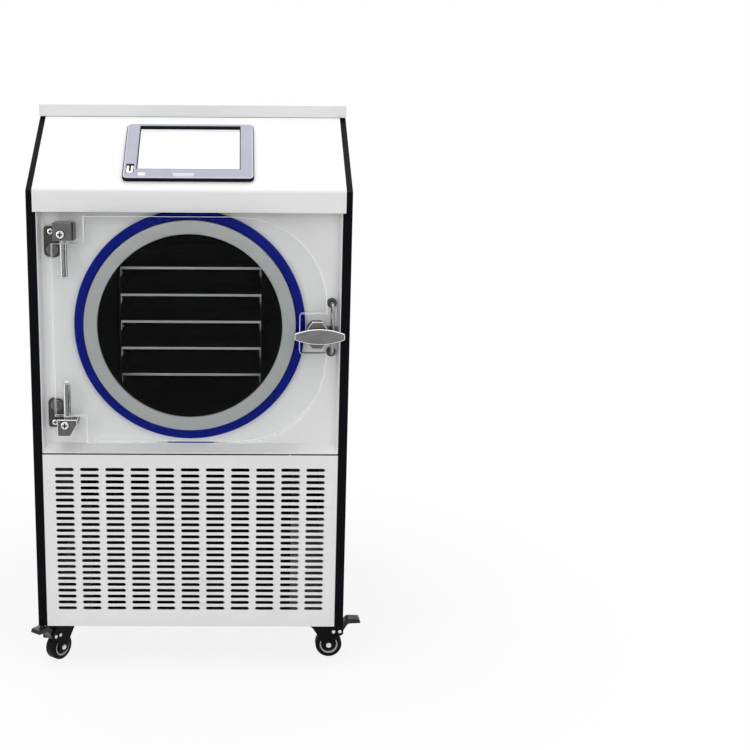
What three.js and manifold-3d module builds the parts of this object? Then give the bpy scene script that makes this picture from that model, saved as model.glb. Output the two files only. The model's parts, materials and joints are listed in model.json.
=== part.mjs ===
// Upright laboratory freeze dryer on four swivel casters.
// Millimetres, +Z up. The front with the door faces -Y and +X is to the right of someone facing it.
// The sub-parts are laid out from the middle of the cabinet's front plane at floor level: x across,
// y back from the front edges of the side panels, z up. The whole is then centred on its own base.

import * as THREE from 'three';
import { mergeGeometries, mergeVertices } from 'three/addons/utils/BufferGeometryUtils.js';
import Module from 'manifold-3d';

const wasm = await Module();
wasm.setup();

// ---------------------------------------------------------------- driving dimensions

// clearances
const FIT = 0.3; // between two pieces that rest on each other
const PANEL_GAP = 0.5; // beside a panel that is let in between two folded edges
const SEAM = 2; // visible joint between the grille panel and the fascia

// cabinet, which is as wide and as high as its chamber, door and fittings need
const DEPTH = 620; // side panel, front edge to rear edge
const CASTER_HEIGHT = 70; // floor to the underside of the cabinet
const SLOPE_RUN = 160; // depth of the sloped control face
const SLOPE_RISE = 113; // height of the sloped control face
const SHEET = 1.5; // cabinet sheet
const RETURN_WIDTH = 14; // folded edge of a side panel that shows from the front and the rear
const LAND_WIDTH = 20; // set-back strip beside a folded edge that carries the panels' screws
const LAND_STEP = 1.8; // how far that strip lies behind the folded edge
const HEM = 3; // width of the doubled edge of a let-in panel
const PROUD = 0.5; // front grille's face in front of the folded edges
const REAR_PROUD = 1; // rear cover's face behind the folded edges

// top cover
const COVER_HEIGHT = 19;
const COVER_SIDE = 0.5; // overhang at each side
const COVER_FRONT = 0; // overhang in front of the sloped face
const COVER_RIM = 16; // inward fold under the cover

// hood: sloped control face and the rounded lip under it
const HOOD_SIDE_INSET = 10; // its side edges from the cabinet's sides
const HOOD_PROUD = 4; // outer face in front of the side panels' edges
const LIP_HEIGHT = 32;
const LIP_RADIUS = 8;

// base pan
const PAN_FLOOR = 3;
const PAN_WALL = 2;
const PAN_UPSTAND = 25;

// front grille, with as many slots as fit inside its margins
const GRILLE_HEIGHT = 291;
const GRILLE_SIDE_MARGIN = 34; // panel's side edge to the middle of the first column
const GRILLE_PITCH_X = 40.2;
const GRILLE_PITCH_Z = 10.22;
const GRILLE_SLOT_LENGTH = 30;
const GRILLE_SLOT_HEIGHT = 4.5;
const GRILLE_TOP_MARGIN = 24.4; // panel's top edge to the middle of the first row

// fascia round the chamber mouth
const FASCIA_RECESS = 15; // depth of its face behind the side panels' front edges
const FASCIA_SHEET = 2;
const FASCIA_SIDE_BEVEL = 4;
const FASCIA_SILL_BEVEL = 13;
const FASCIA_RIM = 1.2;
const FASCIA_RIM_STEP = 0.5; // its rim behind the side panels' front edges
const FASCIA_BEHIND_LIP = 25; // height of it that the hood's lip covers
const FASCIA_SILL_FACE = 10.8; // flat face between the sill's bevel and the trim ring

// chamber
const MOUTH_RADIUS = 145; // opening in its flange
const MOUTH_LIP = 8; // length of that opening
const MOUTH_STEP = 7; // from the opening out to the bore behind it
const CHAMBER_WALL = 4;
const CHAMBER_DEPTH = 470; // flange to the outside of its rear plate
const REAR_PLATE = 6;
const FLANGE_WIDTH = 20;
const FLANGE_THICKNESS = 12;
const GASKET_OVERHANG = 1; // gasket's bore inside the flange's opening
const GASKET_THICKNESS = 7;
const TRIM_WIDTH = 15;
const TRIM_HEIGHT = 8.5;
const TRIM_CHAMFER = 2;
const ROUND_SEGMENTS = 48;

// shelf rack, which is as wide as the bore lets it be at its height
const RACK_HEIGHT = 199;
const RACK_SET_BACK = 48; // rack's front edge behind the flange
const RACK_REAR_GAP = 28; // behind the rack
const RACK_PLATE = 2;
const SHELF_COUNT = 5;
const SHELF_THICKNESS = 4;
const SHELF_FLANGE = 13.5;
const SHELF_FLANGE_SHEET = 1.5;

// door
const DOOR_THICKNESS = 18;
const DOOR_GASKET_GAP = 0.3;
const DOOR_STANDOFF = 2; // door's rear face in front of the side panels' front edges
const DOOR_BELOW_FLANGE = 17.5;
const DOOR_ABOVE_FLANGE = 6.5;
const DOOR_LIP_GAP = 5; // between the door's upper edge and the hood's lip
const DOOR_CORNER_RADIUS = 137;
const DOOR_BEYOND_HINGE = 18.7; // door's left edge from the hinge axis
const DOOR_BEYOND_SPINDLE = 12.6; // door's right edge from the latch spindle
const NOTCH_RADIUS = 4;
const HINGE_NOTCH_SIDE_GAP = 14.6; // between a hinge arm and the side of its notch
const HINGE_NOTCH_END_GAP = 10.2; // from the arm's end to the door's upper or lower edge
const LATCH_NOTCH_LAND = 6; // width of door between the chamber flange and the latch's notch
const LATCH_NOTCH_BELOW_BLOCK = 8.2; // between the latch block and the notch's lower edge
const LATCH_NOTCH_ABOVE_BLOCK = 10.8; // between the latch block and the notch's upper edge

// door hinges
const HINGE_INSET = 38.2; // hinge axis from the edge of the fascia's flat face
const PIN_RADIUS = 5.5;
const PIN_CLEARANCE = 0.4;
const PIN_REACH = 55.5; // length of pin inside the door
const PIN_TIP = 4;
const PIN_SOCKET = 14; // length of pin inside its bracket
const ARM_LEFT = 15.4; // bracket arm to the left of the hinge axis
const ARM_RIGHT = 16;
const ARM_HEIGHT = 27;
const ARM_GAP = 4.8; // between the arm and the edge of the door's notch
const ARM_PROUD = 2; // arm in front of the door's face
const LOWER_ARM_CUT = [11, 19]; // across and up the lower arm's outer corner
const HINGE_PLATE_LEFT = 33.6; // base plate's far edge to the left of the hinge axis
const HINGE_PLATE_WIDTH = 25.4;
const HINGE_PLATE_HEIGHT = 47.4;
const HINGE_PLATE_THICKNESS = 3.5;
const HINGE_PLATE_OVERLAP = 19.6; // base plate's height beside the arm
const HINGE_BOSS_RADIUS = 9;
const HINGE_BOSS_HEIGHT = 2.5;
const HINGE_BOSS_LEFT = 19.9; // to the left of the hinge axis
const HINGE_BOSS_FROM_END = 10.8; // from the base plate's end
const HINGE_SCREW_LEFT = 23.2; // to the left of the hinge axis
const HINGE_SCREW_FROM_END = 8.1; // from the base plate's other end
const ARM_SCREW_LEFT = 3.3; // to the left of the hinge axis
const ARM_SCREW_FROM_EDGE = 9.2; // from the arm's edge beside the notch
const SCREW_HEAD_RADIUS = 5;
const SCREW_HEAD_HEIGHT = 2.5;

// latch
const SPINDLE_FROM_NOTCH = 29.1; // from the side of the door's notch
const LATCH_BELOW_AXIS = 9; // spindle's height below the chamber axis
const LEVER_LENGTH = 77;
const LEVER_HEIGHT = 24;
const LEVER_END_HEIGHT = 9;
const LEVER_THICKNESS = 7;
const LEVER_STEPS = 8; // straight stretches along each curved edge
const LEVER_STANDOFF = 6; // between lever and block
const SPINDLE_RADIUS = 4;
const HUB_RADIUS = 8;
const BLOCK_WIDTH = 31;
const BLOCK_HEIGHT = 43;
const BLOCK_DEPTH = 21;
const BLOCK_PROUD = 8; // block in front of the door's face
const BLOCK_SHIFT = -3; // block's middle from the spindle
const BLOCK_CHAMFER_X = 7.5;
const BLOCK_CHAMFER_Z = 10;
const STUD_RADIUS = 3.5;
const STUD_DEPTH = 10.5; // stud inside the door
const TONGUE_REACH = 31.9;
const TONGUE_HEIGHT = 22;
const TONGUE_THICKNESS = 5;
const STAPLE_FROM_SPINDLE = 21.9;
const STAPLE_ROD_RADIUS = 3.25;
const STAPLE_ABOVE_SPINDLE = 45.7;
const STAPLE_BELOW_SPINDLE = 32.1;
const STAPLE_CLEARANCE = 0.55; // between rod and tongue
const STAPLE_BEND = 9;
const STAPLE_BOSS_RADIUS = 7.8;
const STAPLE_BOSS_HEIGHT = 4;

// touch screen
const BEZEL_WIDTH = 203;
const BEZEL_HEIGHT = 144;
const BEZEL_PROUD = 7;
const BEZEL_RADIUS = 8;
const BEZEL_ABOVE_LIP = 20.5; // bezel's lower edge from the lower edge of the slope
const BEZEL_MIDDLE_X = -2.6; // bezel's middle from the chamber axis
const SCREEN_WIDTH = 159;
const SCREEN_HEIGHT = 111;
const SCREEN_TOP_MARGIN = 9.5;
const SCREEN_RECESS = 5;
const DISPLAY_THICKNESS = 3;
const SCREEN_BODY_INSET = 6; // rear housing smaller than the bezel
const SCREEN_BODY_DEPTH = 28;

// rear panels
const REAR_UPPER_HEIGHT = 147; // seam between the two panels below the side panels' top
const REAR_SIDE_MARGIN = 60; // cover's side edge to the middle of the first column
const REAR_ROWS = 13;
const REAR_PITCH_X = 35;
const REAR_PITCH_Z = 20;
const REAR_SLOT_LENGTH = 29;
const REAR_SLOT_HEIGHT = 9.5;
const REAR_BOTTOM_MARGIN = 38; // panel's lower edge to the middle of the lowest row
const COVER_SCREW_INSET_X = 7.5;
const COVER_SCREW_INSET_Z = 9;
const COVER_SCREW_RADIUS = 4;
const COVER_SCREW_HEIGHT = 1.5;

// vacuum port on the chamber's axis
const PORT_BORE = 13;
const PORT_WALL = 2;
const PORT_FLANGE = 20;
const PORT_RIM = 3;
const PORT_PROTRUSION = 30; // beyond the side panels' rear edges
const PORT_CLEARANCE = 3; // between its flange and the hole in the rear cover

// rear fittings
const ELECTRICS_INSET = 80.5; // their middle line from the panel's edge
const SWITCH_BELOW_TOP = 29; // switch's middle below the side panels' top
const SWITCH_INLET_GAP = 13.75;
const INLET_OUTLET_GAP = 12;
const VENT_INSET = 37.5; // from the panel's other edge
const VENT_BELOW_TOP = 58;
const FITTING_FLANGE = 3;
const FITTING_SCREW_RADIUS = 2.5;
const SWITCH_WIDTH = 25.4;
const SWITCH_HEIGHT = 31.6;
const SWITCH_FLANGE = 2;
const SWITCH_WALL = 1.2;
const SWITCH_BODY_WIDTH = 22;
const SWITCH_BODY_HEIGHT = 28.6;
const SWITCH_BODY_DEPTH = 20;
const ROCKER_HALF_LENGTH = 11.2;
const ROCKER_TOP = 6; // end of the rocker above its axis
const ROCKER_MIDDLE = 4;
const ROCKER_BOTTOM = 3;
const ROCKER_TILT = 11; // degrees to each side
const ROCKER_AXIS_DEPTH = 4; // rocker's axis under the bezel's face
const INLET_WIDTH = 48;
const INLET_HEIGHT = 33.5;
const OUTLET_WIDTH = 50;
const OUTLET_HEIGHT = 30;
const INLET_BODY_DEPTH = 24;
const PLUG_CAVITY_WIDTH = 24;
const PLUG_CAVITY_HEIGHT = 15;
const PLUG_CAVITY_DEPTH = 15;
const PLUG_PIN_LENGTH = 10;
const PLUG_PIN_WIDTH = 2;
const PLUG_PIN_HEIGHT = 4;
const PLUG_PIN_SPREAD = 7; // outer pins to each side of the middle
const PLUG_PIN_DROP = 2; // outer pins below the middle
const PLUG_PIN_RISE = 2.5; // earth pin above it
const FUSE_WIDTH = 22;
const FUSE_HEIGHT = 10;
const FUSE_DEPTH = 17;
const FUSE_PROUD = 0.8; // drawer's face in front of the flange
const FUSE_BED_WIDTH = 18;
const FUSE_BED_WALL = 3; // drawer's wall behind the bed
const FUSE_FACE_WALL = 5; // and in front of it
const FINGER_NOTCH_WIDTH = 8;
const FINGER_NOTCH_DEPTH = 1.5;
const SOCKET_TIP_HEIGHT = 9; // straight end of a pointed flange
const OUTLET_RING_DEPTH = 9; // groove round the outlet's middle part
const OUTLET_RING_WIDTH = 3;
const SLIT_WIDTH = 2.2;
const SLIT_HEIGHT = 4.4;
const SLIT_DEPTH = 8;
const SLIT_SPREAD = 5.5;
const SLIT_DROP = 1.5;
const VENT_FLANGE_RADIUS = 18.5;
const VENT_STUB_RADIUS = 9;

// casters
const CASTER_SIDE_INSET = 38; // swivel axis from the side
const CASTER_INSET = 45; // swivel axis from the front or rear edge
const CASTER_PLATE = 50;
const CASTER_PLATE_THICKNESS = 2.5;
const RACEWAY_RADIUS = 18;
const RACEWAY_HEIGHT = 2.2;
const WHEEL_RADIUS = 22;
const WHEEL_WIDTH = 18.4;
const WHEEL_CHAMFER = 2;
const WHEEL_SEGMENTS = 20;
const TRAIL = 18;
const FORK_SHEET = 2;
const FORK_GAP = 0.8; // between wheel and fork
const AXLE_RADIUS = 3.5;
const BOLT_HEAD_RADIUS = 5;
const BOLT_HEAD = 2;
const PEDAL_PIVOT_ANGLE = 54; // degrees above the level, seen from the axle
const PEDAL_WHEEL_GAP = 2.5; // between the pedal's hub and the wheel
const PEDAL_PIN_RADIUS = 2.5;
const PEDAL_HUB_RADIUS = 6;
const PEDAL_REACH = 72; // pad's tip from the swivel axis
const PEDAL_TOP_GAP = 1.5; // pad below the cabinet
const SHOE_THICKNESS = 3;
const PEDAL_TRAVEL = 22; // degrees

// refrigeration and electrics inside the cabinet
const DECK_GAP = 1.5; // between the deck and the insulation
const DECK_SHEET = 3;
const DECK_FRONT = 22;
const DECK_REAR_GAP = 20;
const SADDLE_WIDTH = 220;
const SADDLE_HEIGHT = 73;
const SADDLE_THICKNESS = 6;
const SADDLE_FROM_FLANGE = 22.4;
const SADDLE_FROM_REAR = 33; // its front face from the chamber's rear
const COIL_TUBE = 4; // radius
const COIL_TURNS = 5;
const COIL_SEGMENTS = 16;
const COIL_INSET = 30; // first turn inside the jacket's front end
const COIL_SADDLE_GAP = 5; // between the last turn and the rear saddle
const JACKET_THICKNESS = 11.5;
const JACKET_SEGMENTS = 24;
const JACKET_FROM_SADDLE = 24;
const JACKET_FROM_TAIL = 4; // between the coil's tail and the jacket's rear end
const COMPRESSOR_X = -100;
const COMPRESSOR_Y = 430;
const COMPRESSOR_RADIUS = 70;
const COMPRESSOR_HEIGHT = 170;
const COMPRESSOR_FOOT_HEIGHT = 18;
const COMPRESSOR_LID = 34; // height of its domed lid
const COMPRESSOR_BASE = 16; // height of its tapered base
const COMPRESSOR_STUB = 14; // suction stub above the lid
const TERMINAL_BOX_WIDTH = 48;
const TERMINAL_BOX_HEIGHT = 60;
const TERMINAL_BOX_PROUD = 20; // beyond the compressor's pot
const CONDENSER_WIDTH = 320;
const CONDENSER_HEIGHT = 240;
const CONDENSER_DEPTH = 44;
const CONDENSER_Y = 26;
const FAN_MARGIN = 20; // blade tips from the condenser's upper and lower edges
const FAN_HUB_RADIUS = 25;
const FAN_TIP_GAP = 5;
const FAN_BLADES = 5;
const FAN_PITCH = 30; // degrees
const FAN_CHORD = 30;
const FAN_HUB_LENGTH = 18;
const FAN_ARM = 4; // depth of the arms behind the rotor
const FAN_SHAFT = 4; // radius
const FAN_MOTOR_LENGTH = 36;
const FAN_ARM_WIDTH = 10;
const SHROUD_SHEET = 3;
const SHROUD_DEPTH = 28;
const CONTROL_BOX_WIDTH = 220;
const CONTROL_BOX_HEIGHT = 120;
const CONTROL_BOX_DEPTH = 70;
const CONTROL_BOX_X = 30;
const CONTROL_BOX_DROP = 10; // its top below the side panels' top
const CABLE_HOLE_RADIUS = 12;
const CABLE_HOLE_INSET = 25; // from the box's front face

// ---------------------------------------------------------------- derived places

// radii about the chamber axis
const CHAMBER_RADIUS = MOUTH_RADIUS + MOUTH_STEP;
const SHELL_RADIUS = CHAMBER_RADIUS + CHAMBER_WALL;
const FLANGE_RADIUS = MOUTH_RADIUS + FLANGE_WIDTH;
const TRIM_BORE = FLANGE_RADIUS + PANEL_GAP;
const TRIM_RADIUS = TRIM_BORE + TRIM_WIDTH;
const COIL_RADIUS = (SHELL_RADIUS + COIL_TUBE + FIT) / Math.cos(Math.PI / COIL_SEGMENTS);
const JACKET_BORE = (COIL_RADIUS + COIL_TUBE + FIT) / Math.cos(Math.PI / JACKET_SEGMENTS);
const JACKET_RADIUS = JACKET_BORE + JACKET_THICKNESS;

// across, from the chamber axis out to the side
const LATCH_NOTCH_X = FLANGE_RADIUS + LATCH_NOTCH_LAND;
const LATCH_X = LATCH_NOTCH_X + SPINDLE_FROM_NOTCH;
const DOOR_RIGHT = LATCH_X + DOOR_BEYOND_SPINDLE;
const STAPLE_X = LATCH_X + STAPLE_FROM_SPINDLE;
const FASCIA_FACE_X = STAPLE_X + STAPLE_BOSS_RADIUS + PANEL_GAP;
const PANEL_X = FASCIA_FACE_X + FASCIA_SIDE_BEVEL + FASCIA_RIM;
const RETURN_X = PANEL_X + PANEL_GAP;
const LAND_X = RETURN_X - LAND_WIDTH;
const SIDE_X = RETURN_X + RETURN_WIDTH;
const INNER_X = SIDE_X - SHEET;
const HINGE_AXIS_X = HINGE_INSET - FASCIA_FACE_X;
const DOOR_LEFT = HINGE_AXIS_X - DOOR_BEYOND_HINGE;
const HINGE_NOTCH_X = HINGE_AXIS_X + ARM_RIGHT + HINGE_NOTCH_SIDE_GAP;

// up, from the floor to the top
const BASE_Z = CASTER_HEIGHT;
const PAN_FLOOR_Z = BASE_Z + PAN_FLOOR;
const GRILLE_TOP_Z = BASE_Z + GRILLE_HEIGHT;
const FASCIA_BOTTOM_Z = GRILLE_TOP_Z + SEAM;
const CHAMBER_Z = FASCIA_BOTTOM_Z + FASCIA_RIM + FASCIA_SILL_BEVEL + FASCIA_SILL_FACE + TRIM_RADIUS;
const DECK_Z = CHAMBER_Z - JACKET_RADIUS - DECK_GAP;
const DOOR_BOTTOM_Z = CHAMBER_Z - FLANGE_RADIUS - DOOR_BELOW_FLANGE;
const LATCH_Z = CHAMBER_Z - LATCH_BELOW_AXIS;
const DOOR_TOP_Z = CHAMBER_Z + FLANGE_RADIUS + DOOR_ABOVE_FLANGE;
const LIP_BOTTOM_Z = DOOR_TOP_Z + DOOR_LIP_GAP;
const FASCIA_TOP_Z = LIP_BOTTOM_Z + FASCIA_BEHIND_LIP;
const LIP_TOP_Z = LIP_BOTTOM_Z + LIP_HEIGHT;
const TOP_Z = LIP_TOP_Z + SLOPE_RISE;
const SLOPE_ANGLE = Math.atan2(SLOPE_RISE, SLOPE_RUN);
const REAR_SEAM_Z = TOP_Z - REAR_UPPER_HEIGHT;

// back, from the door to the rear of the chamber
const DOOR_BACK_Y = -DOOR_STANDOFF;
const DOOR_FRONT_Y = DOOR_BACK_Y - DOOR_THICKNESS;
const DOOR_MIDDLE_Y = (DOOR_FRONT_Y + DOOR_BACK_Y) / 2;
const TONGUE_FRONT_Y = DOOR_BACK_Y + FIT;
const GASKET_FRONT_Y = DOOR_BACK_Y + DOOR_GASKET_GAP;
const FLANGE_FRONT_Y = GASKET_FRONT_Y + GASKET_THICKNESS + FIT;
const FLANGE_BACK_Y = FLANGE_FRONT_Y + FLANGE_THICKNESS;
const CHAMBER_REAR_Y = FLANGE_BACK_Y + CHAMBER_DEPTH;
const SADDLE_FRONT_Y = FLANGE_BACK_Y + SADDLE_FROM_FLANGE;
const SADDLE_REAR_Y = CHAMBER_REAR_Y - SADDLE_FROM_REAR;
const COIL_END_Y = SADDLE_REAR_Y - COIL_SADDLE_GAP - COIL_TUBE;
const JACKET_FRONT_Y = SADDLE_FRONT_Y + SADDLE_THICKNESS + JACKET_FROM_SADDLE;
const JACKET_REAR_Y = COIL_END_Y - COIL_TUBE - JACKET_FROM_TAIL;
const COIL_START_Y = JACKET_FRONT_Y + COIL_INSET;

// on the rear panels
const ELECTRICS_X = ELECTRICS_INSET - PANEL_X;
const SWITCH_Z = TOP_Z - SWITCH_BELOW_TOP;
const INLET_Z = SWITCH_Z - (SWITCH_HEIGHT + INLET_HEIGHT) / 2 - SWITCH_INLET_GAP;
const OUTLET_Z = INLET_Z - (INLET_HEIGHT + OUTLET_HEIGHT) / 2 - INLET_OUTLET_GAP;
const VENT_X = PANEL_X - VENT_INSET;
const VENT_Z = TOP_Z - VENT_BELOW_TOP;
const PORT_HOLE = PORT_FLANGE + PORT_CLEARANCE;

// fan and casters
const FAN_RADIUS = CONDENSER_HEIGHT / 2 - FAN_MARGIN;
const CASTER_X = SIDE_X - CASTER_SIDE_INSET;
const WHEEL_RIM = WHEEL_RADIUS / Math.cos(Math.PI / WHEEL_SEGMENTS);
const PEDAL_FROM_AXLE = WHEEL_RIM + PEDAL_WHEEL_GAP + PEDAL_HUB_RADIUS;
const PEDAL_PIVOT_X = TRAIL + PEDAL_FROM_AXLE * Math.cos(THREE.MathUtils.degToRad(PEDAL_PIVOT_ANGLE));
const PEDAL_PIVOT_RISE = PEDAL_FROM_AXLE * Math.sin(THREE.MathUtils.degToRad(PEDAL_PIVOT_ANGLE));
const PEDAL_PIVOT_Z = WHEEL_RADIUS + PEDAL_PIVOT_RISE;

// ---------------------------------------------------------------- solids

/** Drops a triangle list's zero-area triangles and turns it so that its faces point out. */
function closedTriangles(geometry) {
  const kept = [];
  const index = geometry.index.array;
  const place = geometry.attributes.position;
  const [a, b, c] = [new THREE.Vector3(), new THREE.Vector3(), new THREE.Vector3()];
  let volume = 0;
  for (let i = 0; i < index.length; i += 3) {
    const [p, q, r] = [index[i], index[i + 1], index[i + 2]];
    if (p === q || q === r || r === p) continue;
    kept.push(p, q, r);
    a.fromBufferAttribute(place, p);
    b.fromBufferAttribute(place, q);
    c.fromBufferAttribute(place, r);
    volume += a.dot(b.cross(c));
  }
  return volume < 0 ? kept.reverse() : kept;
}

function toSolid(geometry) {
  const bare = geometry.clone();
  bare.deleteAttribute('normal');
  bare.deleteAttribute('uv');
  const merged = mergeVertices(bare);
  return new wasm.Manifold(
    new wasm.Mesh({
      numProp: 3,
      vertProperties: new Float32Array(merged.attributes.position.array),
      triVerts: new Uint32Array(closedTriangles(merged)),
    }),
  );
}

function toGeometry(solid) {
  const mesh = solid.getMesh();
  const geometry = new THREE.BufferGeometry();
  geometry.setAttribute('position', new THREE.BufferAttribute(new Float32Array(mesh.vertProperties), 3));
  geometry.setIndex(new THREE.BufferAttribute(new Uint32Array(mesh.triVerts), 1));
  return geometry;
}

function join(...geometries) {
  return toGeometry(geometries.map(toSolid).reduce((whole, next) => whole.add(next)));
}

function cut(body, ...tools) {
  return toGeometry(tools.map(toSolid).reduce((rest, tool) => rest.subtract(tool), toSolid(body)));
}

/** Box between two corners, given as ranges along x, y and z. */
function block([x0, x1], [y0, y1], [z0, z1]) {
  const box = new THREE.BoxGeometry(Math.abs(x1 - x0), Math.abs(y1 - y0), Math.abs(z1 - z0));
  return box.translate((x0 + x1) / 2, (y0 + y1) / 2, (z0 + z1) / 2);
}

/** Box whose rear face has its own ranges along x and z: a tapered block from y0 back to y1. */
function taperedBlock(y0, front, y1, rear) {
  const box = new THREE.BoxGeometry(1, 1, 1);
  const place = box.attributes.position;
  for (let i = 0; i < place.count; i++) {
    const atRear = place.getY(i) > 0;
    const [x, z] = atRear ? rear : front;
    place.setXYZ(i, x[place.getX(i) > 0 ? 1 : 0], atRear ? y1 : y0, z[place.getZ(i) > 0 ? 1 : 0]);
  }
  return box;
}

/** Outline through corners [x, y, radius], with each radius as an arc of a few short sides. */
function outline(corners, stepDegrees = 22.5) {
  const points = [];
  corners.forEach(([x, y, radius = 0], i) => {
    const corner = new THREE.Vector2(x, y);
    if (radius === 0) {
      points.push(corner);
      return;
    }
    const before = corners[(i + corners.length - 1) % corners.length];
    const after = corners[(i + 1) % corners.length];
    const toBefore = new THREE.Vector2(before[0] - x, before[1] - y).normalize();
    const toAfter = new THREE.Vector2(after[0] - x, after[1] - y).normalize();
    const half = Math.acos(THREE.MathUtils.clamp(toBefore.dot(toAfter), -1, 1)) / 2;
    const bisector = toBefore.clone().add(toAfter).normalize();
    const centre = corner.clone().addScaledVector(bisector, radius / Math.sin(half));
    const start = corner.clone().addScaledVector(toBefore, radius / Math.tan(half)).sub(centre);
    const turn = Math.PI - 2 * half;
    const sense = Math.sign(toAfter.cross(toBefore)) || 1;
    const steps = Math.max(2, Math.round(THREE.MathUtils.radToDeg(turn) / stepDegrees));
    for (let k = 0; k <= steps; k++) {
      points.push(start.clone().rotateAround(new THREE.Vector2(), (sense * turn * k) / steps).add(centre));
    }
  });
  return points;
}

/** Extrudes an (x, z) outline back from y0 to y1, with its edges bevelled by an amount. */
function plate(points, y0, y1, bevel = 0) {
  const geometry = new THREE.ExtrudeGeometry(new THREE.Shape(points), {
    depth: y1 - y0 - 2 * bevel,
    bevelEnabled: bevel > 0,
    bevelThickness: bevel,
    bevelSize: bevel,
    bevelOffset: -bevel,
    bevelSegments: 1,
    steps: 1,
  });
  return geometry.rotateX(Math.PI / 2).translate(0, y1 - bevel, 0);
}

function extruded(points, depth) {
  return new THREE.ExtrudeGeometry(new THREE.Shape(points), { depth, bevelEnabled: false });
}

/** Extrudes a (y, z) outline along x from x0 to x1. */
function bar(points, x0, x1) {
  return extruded(points, x1 - x0).rotateZ(Math.PI / 2).rotateY(Math.PI / 2).translate(x0, 0, 0);
}

/** Extrudes an (x, y) outline up from z0 to z1. */
function slab(points, z0, z1) {
  return extruded(points, z1 - z0).translate(0, 0, z0);
}

/** Turns a closed [radius, y] profile round the Y axis. Flat sides face up, down and sideways. */
function turned(profile, segments = ROUND_SEGMENTS) {
  const points = profile.map(([radius, y]) => new THREE.Vector2(radius, y));
  const onAxis = profile[0][0] === 0 && profile[profile.length - 1][0] === 0;
  if (!onAxis) points.push(points[0].clone());
  return new THREE.LatheGeometry(points, segments).rotateY(Math.PI / segments);
}

/** Cylinder along x, y or z between two places on that axis. */
function rod(axis, radius, from, to, segments = 12) {
  const geometry = new THREE.CylinderGeometry(radius, radius, to - from, segments);
  geometry.rotateY(Math.PI / segments).translate(0, (from + to) / 2, 0);
  if (axis === 'x') geometry.rotateZ(-Math.PI / 2);
  if (axis === 'z') geometry.rotateX(Math.PI / 2);
  return geometry;
}

/** Round tube of few sides along a curve. */
function tube(curve, radius, steps, sides = 6) {
  const section = new THREE.Shape();
  section.absarc(0, 0, radius, 0, 2 * Math.PI);
  return new THREE.ExtrudeGeometry(section, { extrudePath: curve, steps, curveSegments: sides / 2 });
}

/** Line with rounded corners through points. */
function roundedPath(points, radius) {
  const path = new THREE.CurvePath();
  let from = points[0];
  for (let i = 1; i < points.length - 1; i++) {
    const into = points[i].clone().add(points[i - 1].clone().sub(points[i]).setLength(radius));
    const out = points[i].clone().add(points[i + 1].clone().sub(points[i]).setLength(radius));
    path.add(new THREE.LineCurve3(from, into));
    path.add(new THREE.QuadraticBezierCurve3(into, points[i], out));
    from = out;
  }
  path.add(new THREE.LineCurve3(from, points[points.length - 1]));
  return path;
}

/** Mirror image of a solid, upside down. */
function upsideDown(geometry) {
  return join(geometry.scale(1, 1, -1));
}

// ---------------------------------------------------------------- finishes

function finish(color, roughness, metalness = 0) {
  return () => new THREE.MeshStandardMaterial({ color, roughness, metalness });
}

const whitePaint = finish(0xe9eae8, 0.42);
const darkPaint = finish(0x14161c, 0.5);
const bezelPlastic = finish(0x8a93a2, 0.45);
const litGlass = finish(0xf4f7fa, 0.15);
const brushedSteel = finish(0x8c8f92, 0.38, 1);
const polishedSteel = finish(0xc4c6c9, 0.18, 1);
const shelfAluminium = finish(0x26282b, 0.45, 1); // dark anodised
const gasketRubber = finish(0xbdc0bc, 0.6);
const trimBlue = finish(0x101f8c, 0.4);
const blackPlastic = finish(0x1c1e20, 0.5);
const redPlastic = finish(0xbd1f24, 0.3);
const zincSteel = finish(0x9a9c9e, 0.45, 1);
const copper = finish(0xb5683f, 0.35, 1);
const blackSteel = finish(0x17181a, 0.45);
const tyreRubber = finish(0x1b1c1e, 0.7);
const foam = finish(0x2b2c2e, 0.9);
const finPack = finish(0x7d8286, 0.5, 1);

function clearAcrylic() {
  const material = new THREE.MeshStandardMaterial({ color: 0xe8eef0, roughness: 0.08, metalness: 0 });
  material.transparent = true;
  material.opacity = 0.3;
  return material;
}

function piece(name, geometry, material) {
  const mesh = new THREE.Mesh(geometry, material());
  mesh.name = name;
  return mesh;
}

/** Group at a place in the cabinet, holding the given pieces. */
function placed(x, y, z, ...pieces) {
  const group = new THREE.Group();
  group.position.set(x, y, z);
  group.add(...pieces);
  return group;
}

// ---------------------------------------------------------------- cabinet

/** Folded side panel: a sheet with inward edges all round but at its foot, and screw lands. */
function sidePanel(side) {
  const across = (x0, x1) => [side * x0, side * x1].sort((a, b) => a - b);
  const rim = [
    [0, BASE_Z],
    [DEPTH, BASE_Z],
    [DEPTH, TOP_Z],
    [SLOPE_RUN, TOP_Z],
    [0, LIP_TOP_Z],
  ];
  const slack = SHEET / Math.cos(SLOPE_ANGLE) - SHEET * Math.tan(SLOPE_ANGLE);
  const slopeShift = SHEET * Math.tan(SLOPE_ANGLE / 2);
  const hollow = [
    [SHEET, BASE_Z - SHEET],
    [DEPTH - SHEET, BASE_Z - SHEET],
    [DEPTH - SHEET, TOP_Z - SHEET],
    [SLOPE_RUN + slopeShift, TOP_Z - SHEET],
    [SHEET, LIP_TOP_Z - slack],
  ];
  const shell = cut(
    bar(outline(rim), ...across(RETURN_X, SIDE_X)),
    bar(outline(hollow), ...across(RETURN_X - SHEET, INNER_X)),
  );
  const land = (y0, y1, webEnd, top) => [
    block(across(LAND_X, RETURN_X + SHEET), [y0, y1], [BASE_Z, top]),
    block(across(RETURN_X, RETURN_X + SHEET), [Math.min(y0, webEnd), Math.max(y1, webEnd)], [BASE_Z, top]),
  ];
  return join(
    shell,
    ...land(LAND_STEP, LAND_STEP + SHEET, SHEET / 2, GRILLE_TOP_Z),
    ...land(DEPTH - LAND_STEP - SHEET, DEPTH - LAND_STEP, DEPTH - SHEET / 2, TOP_Z - SHEET / 2),
  );
}

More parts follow.
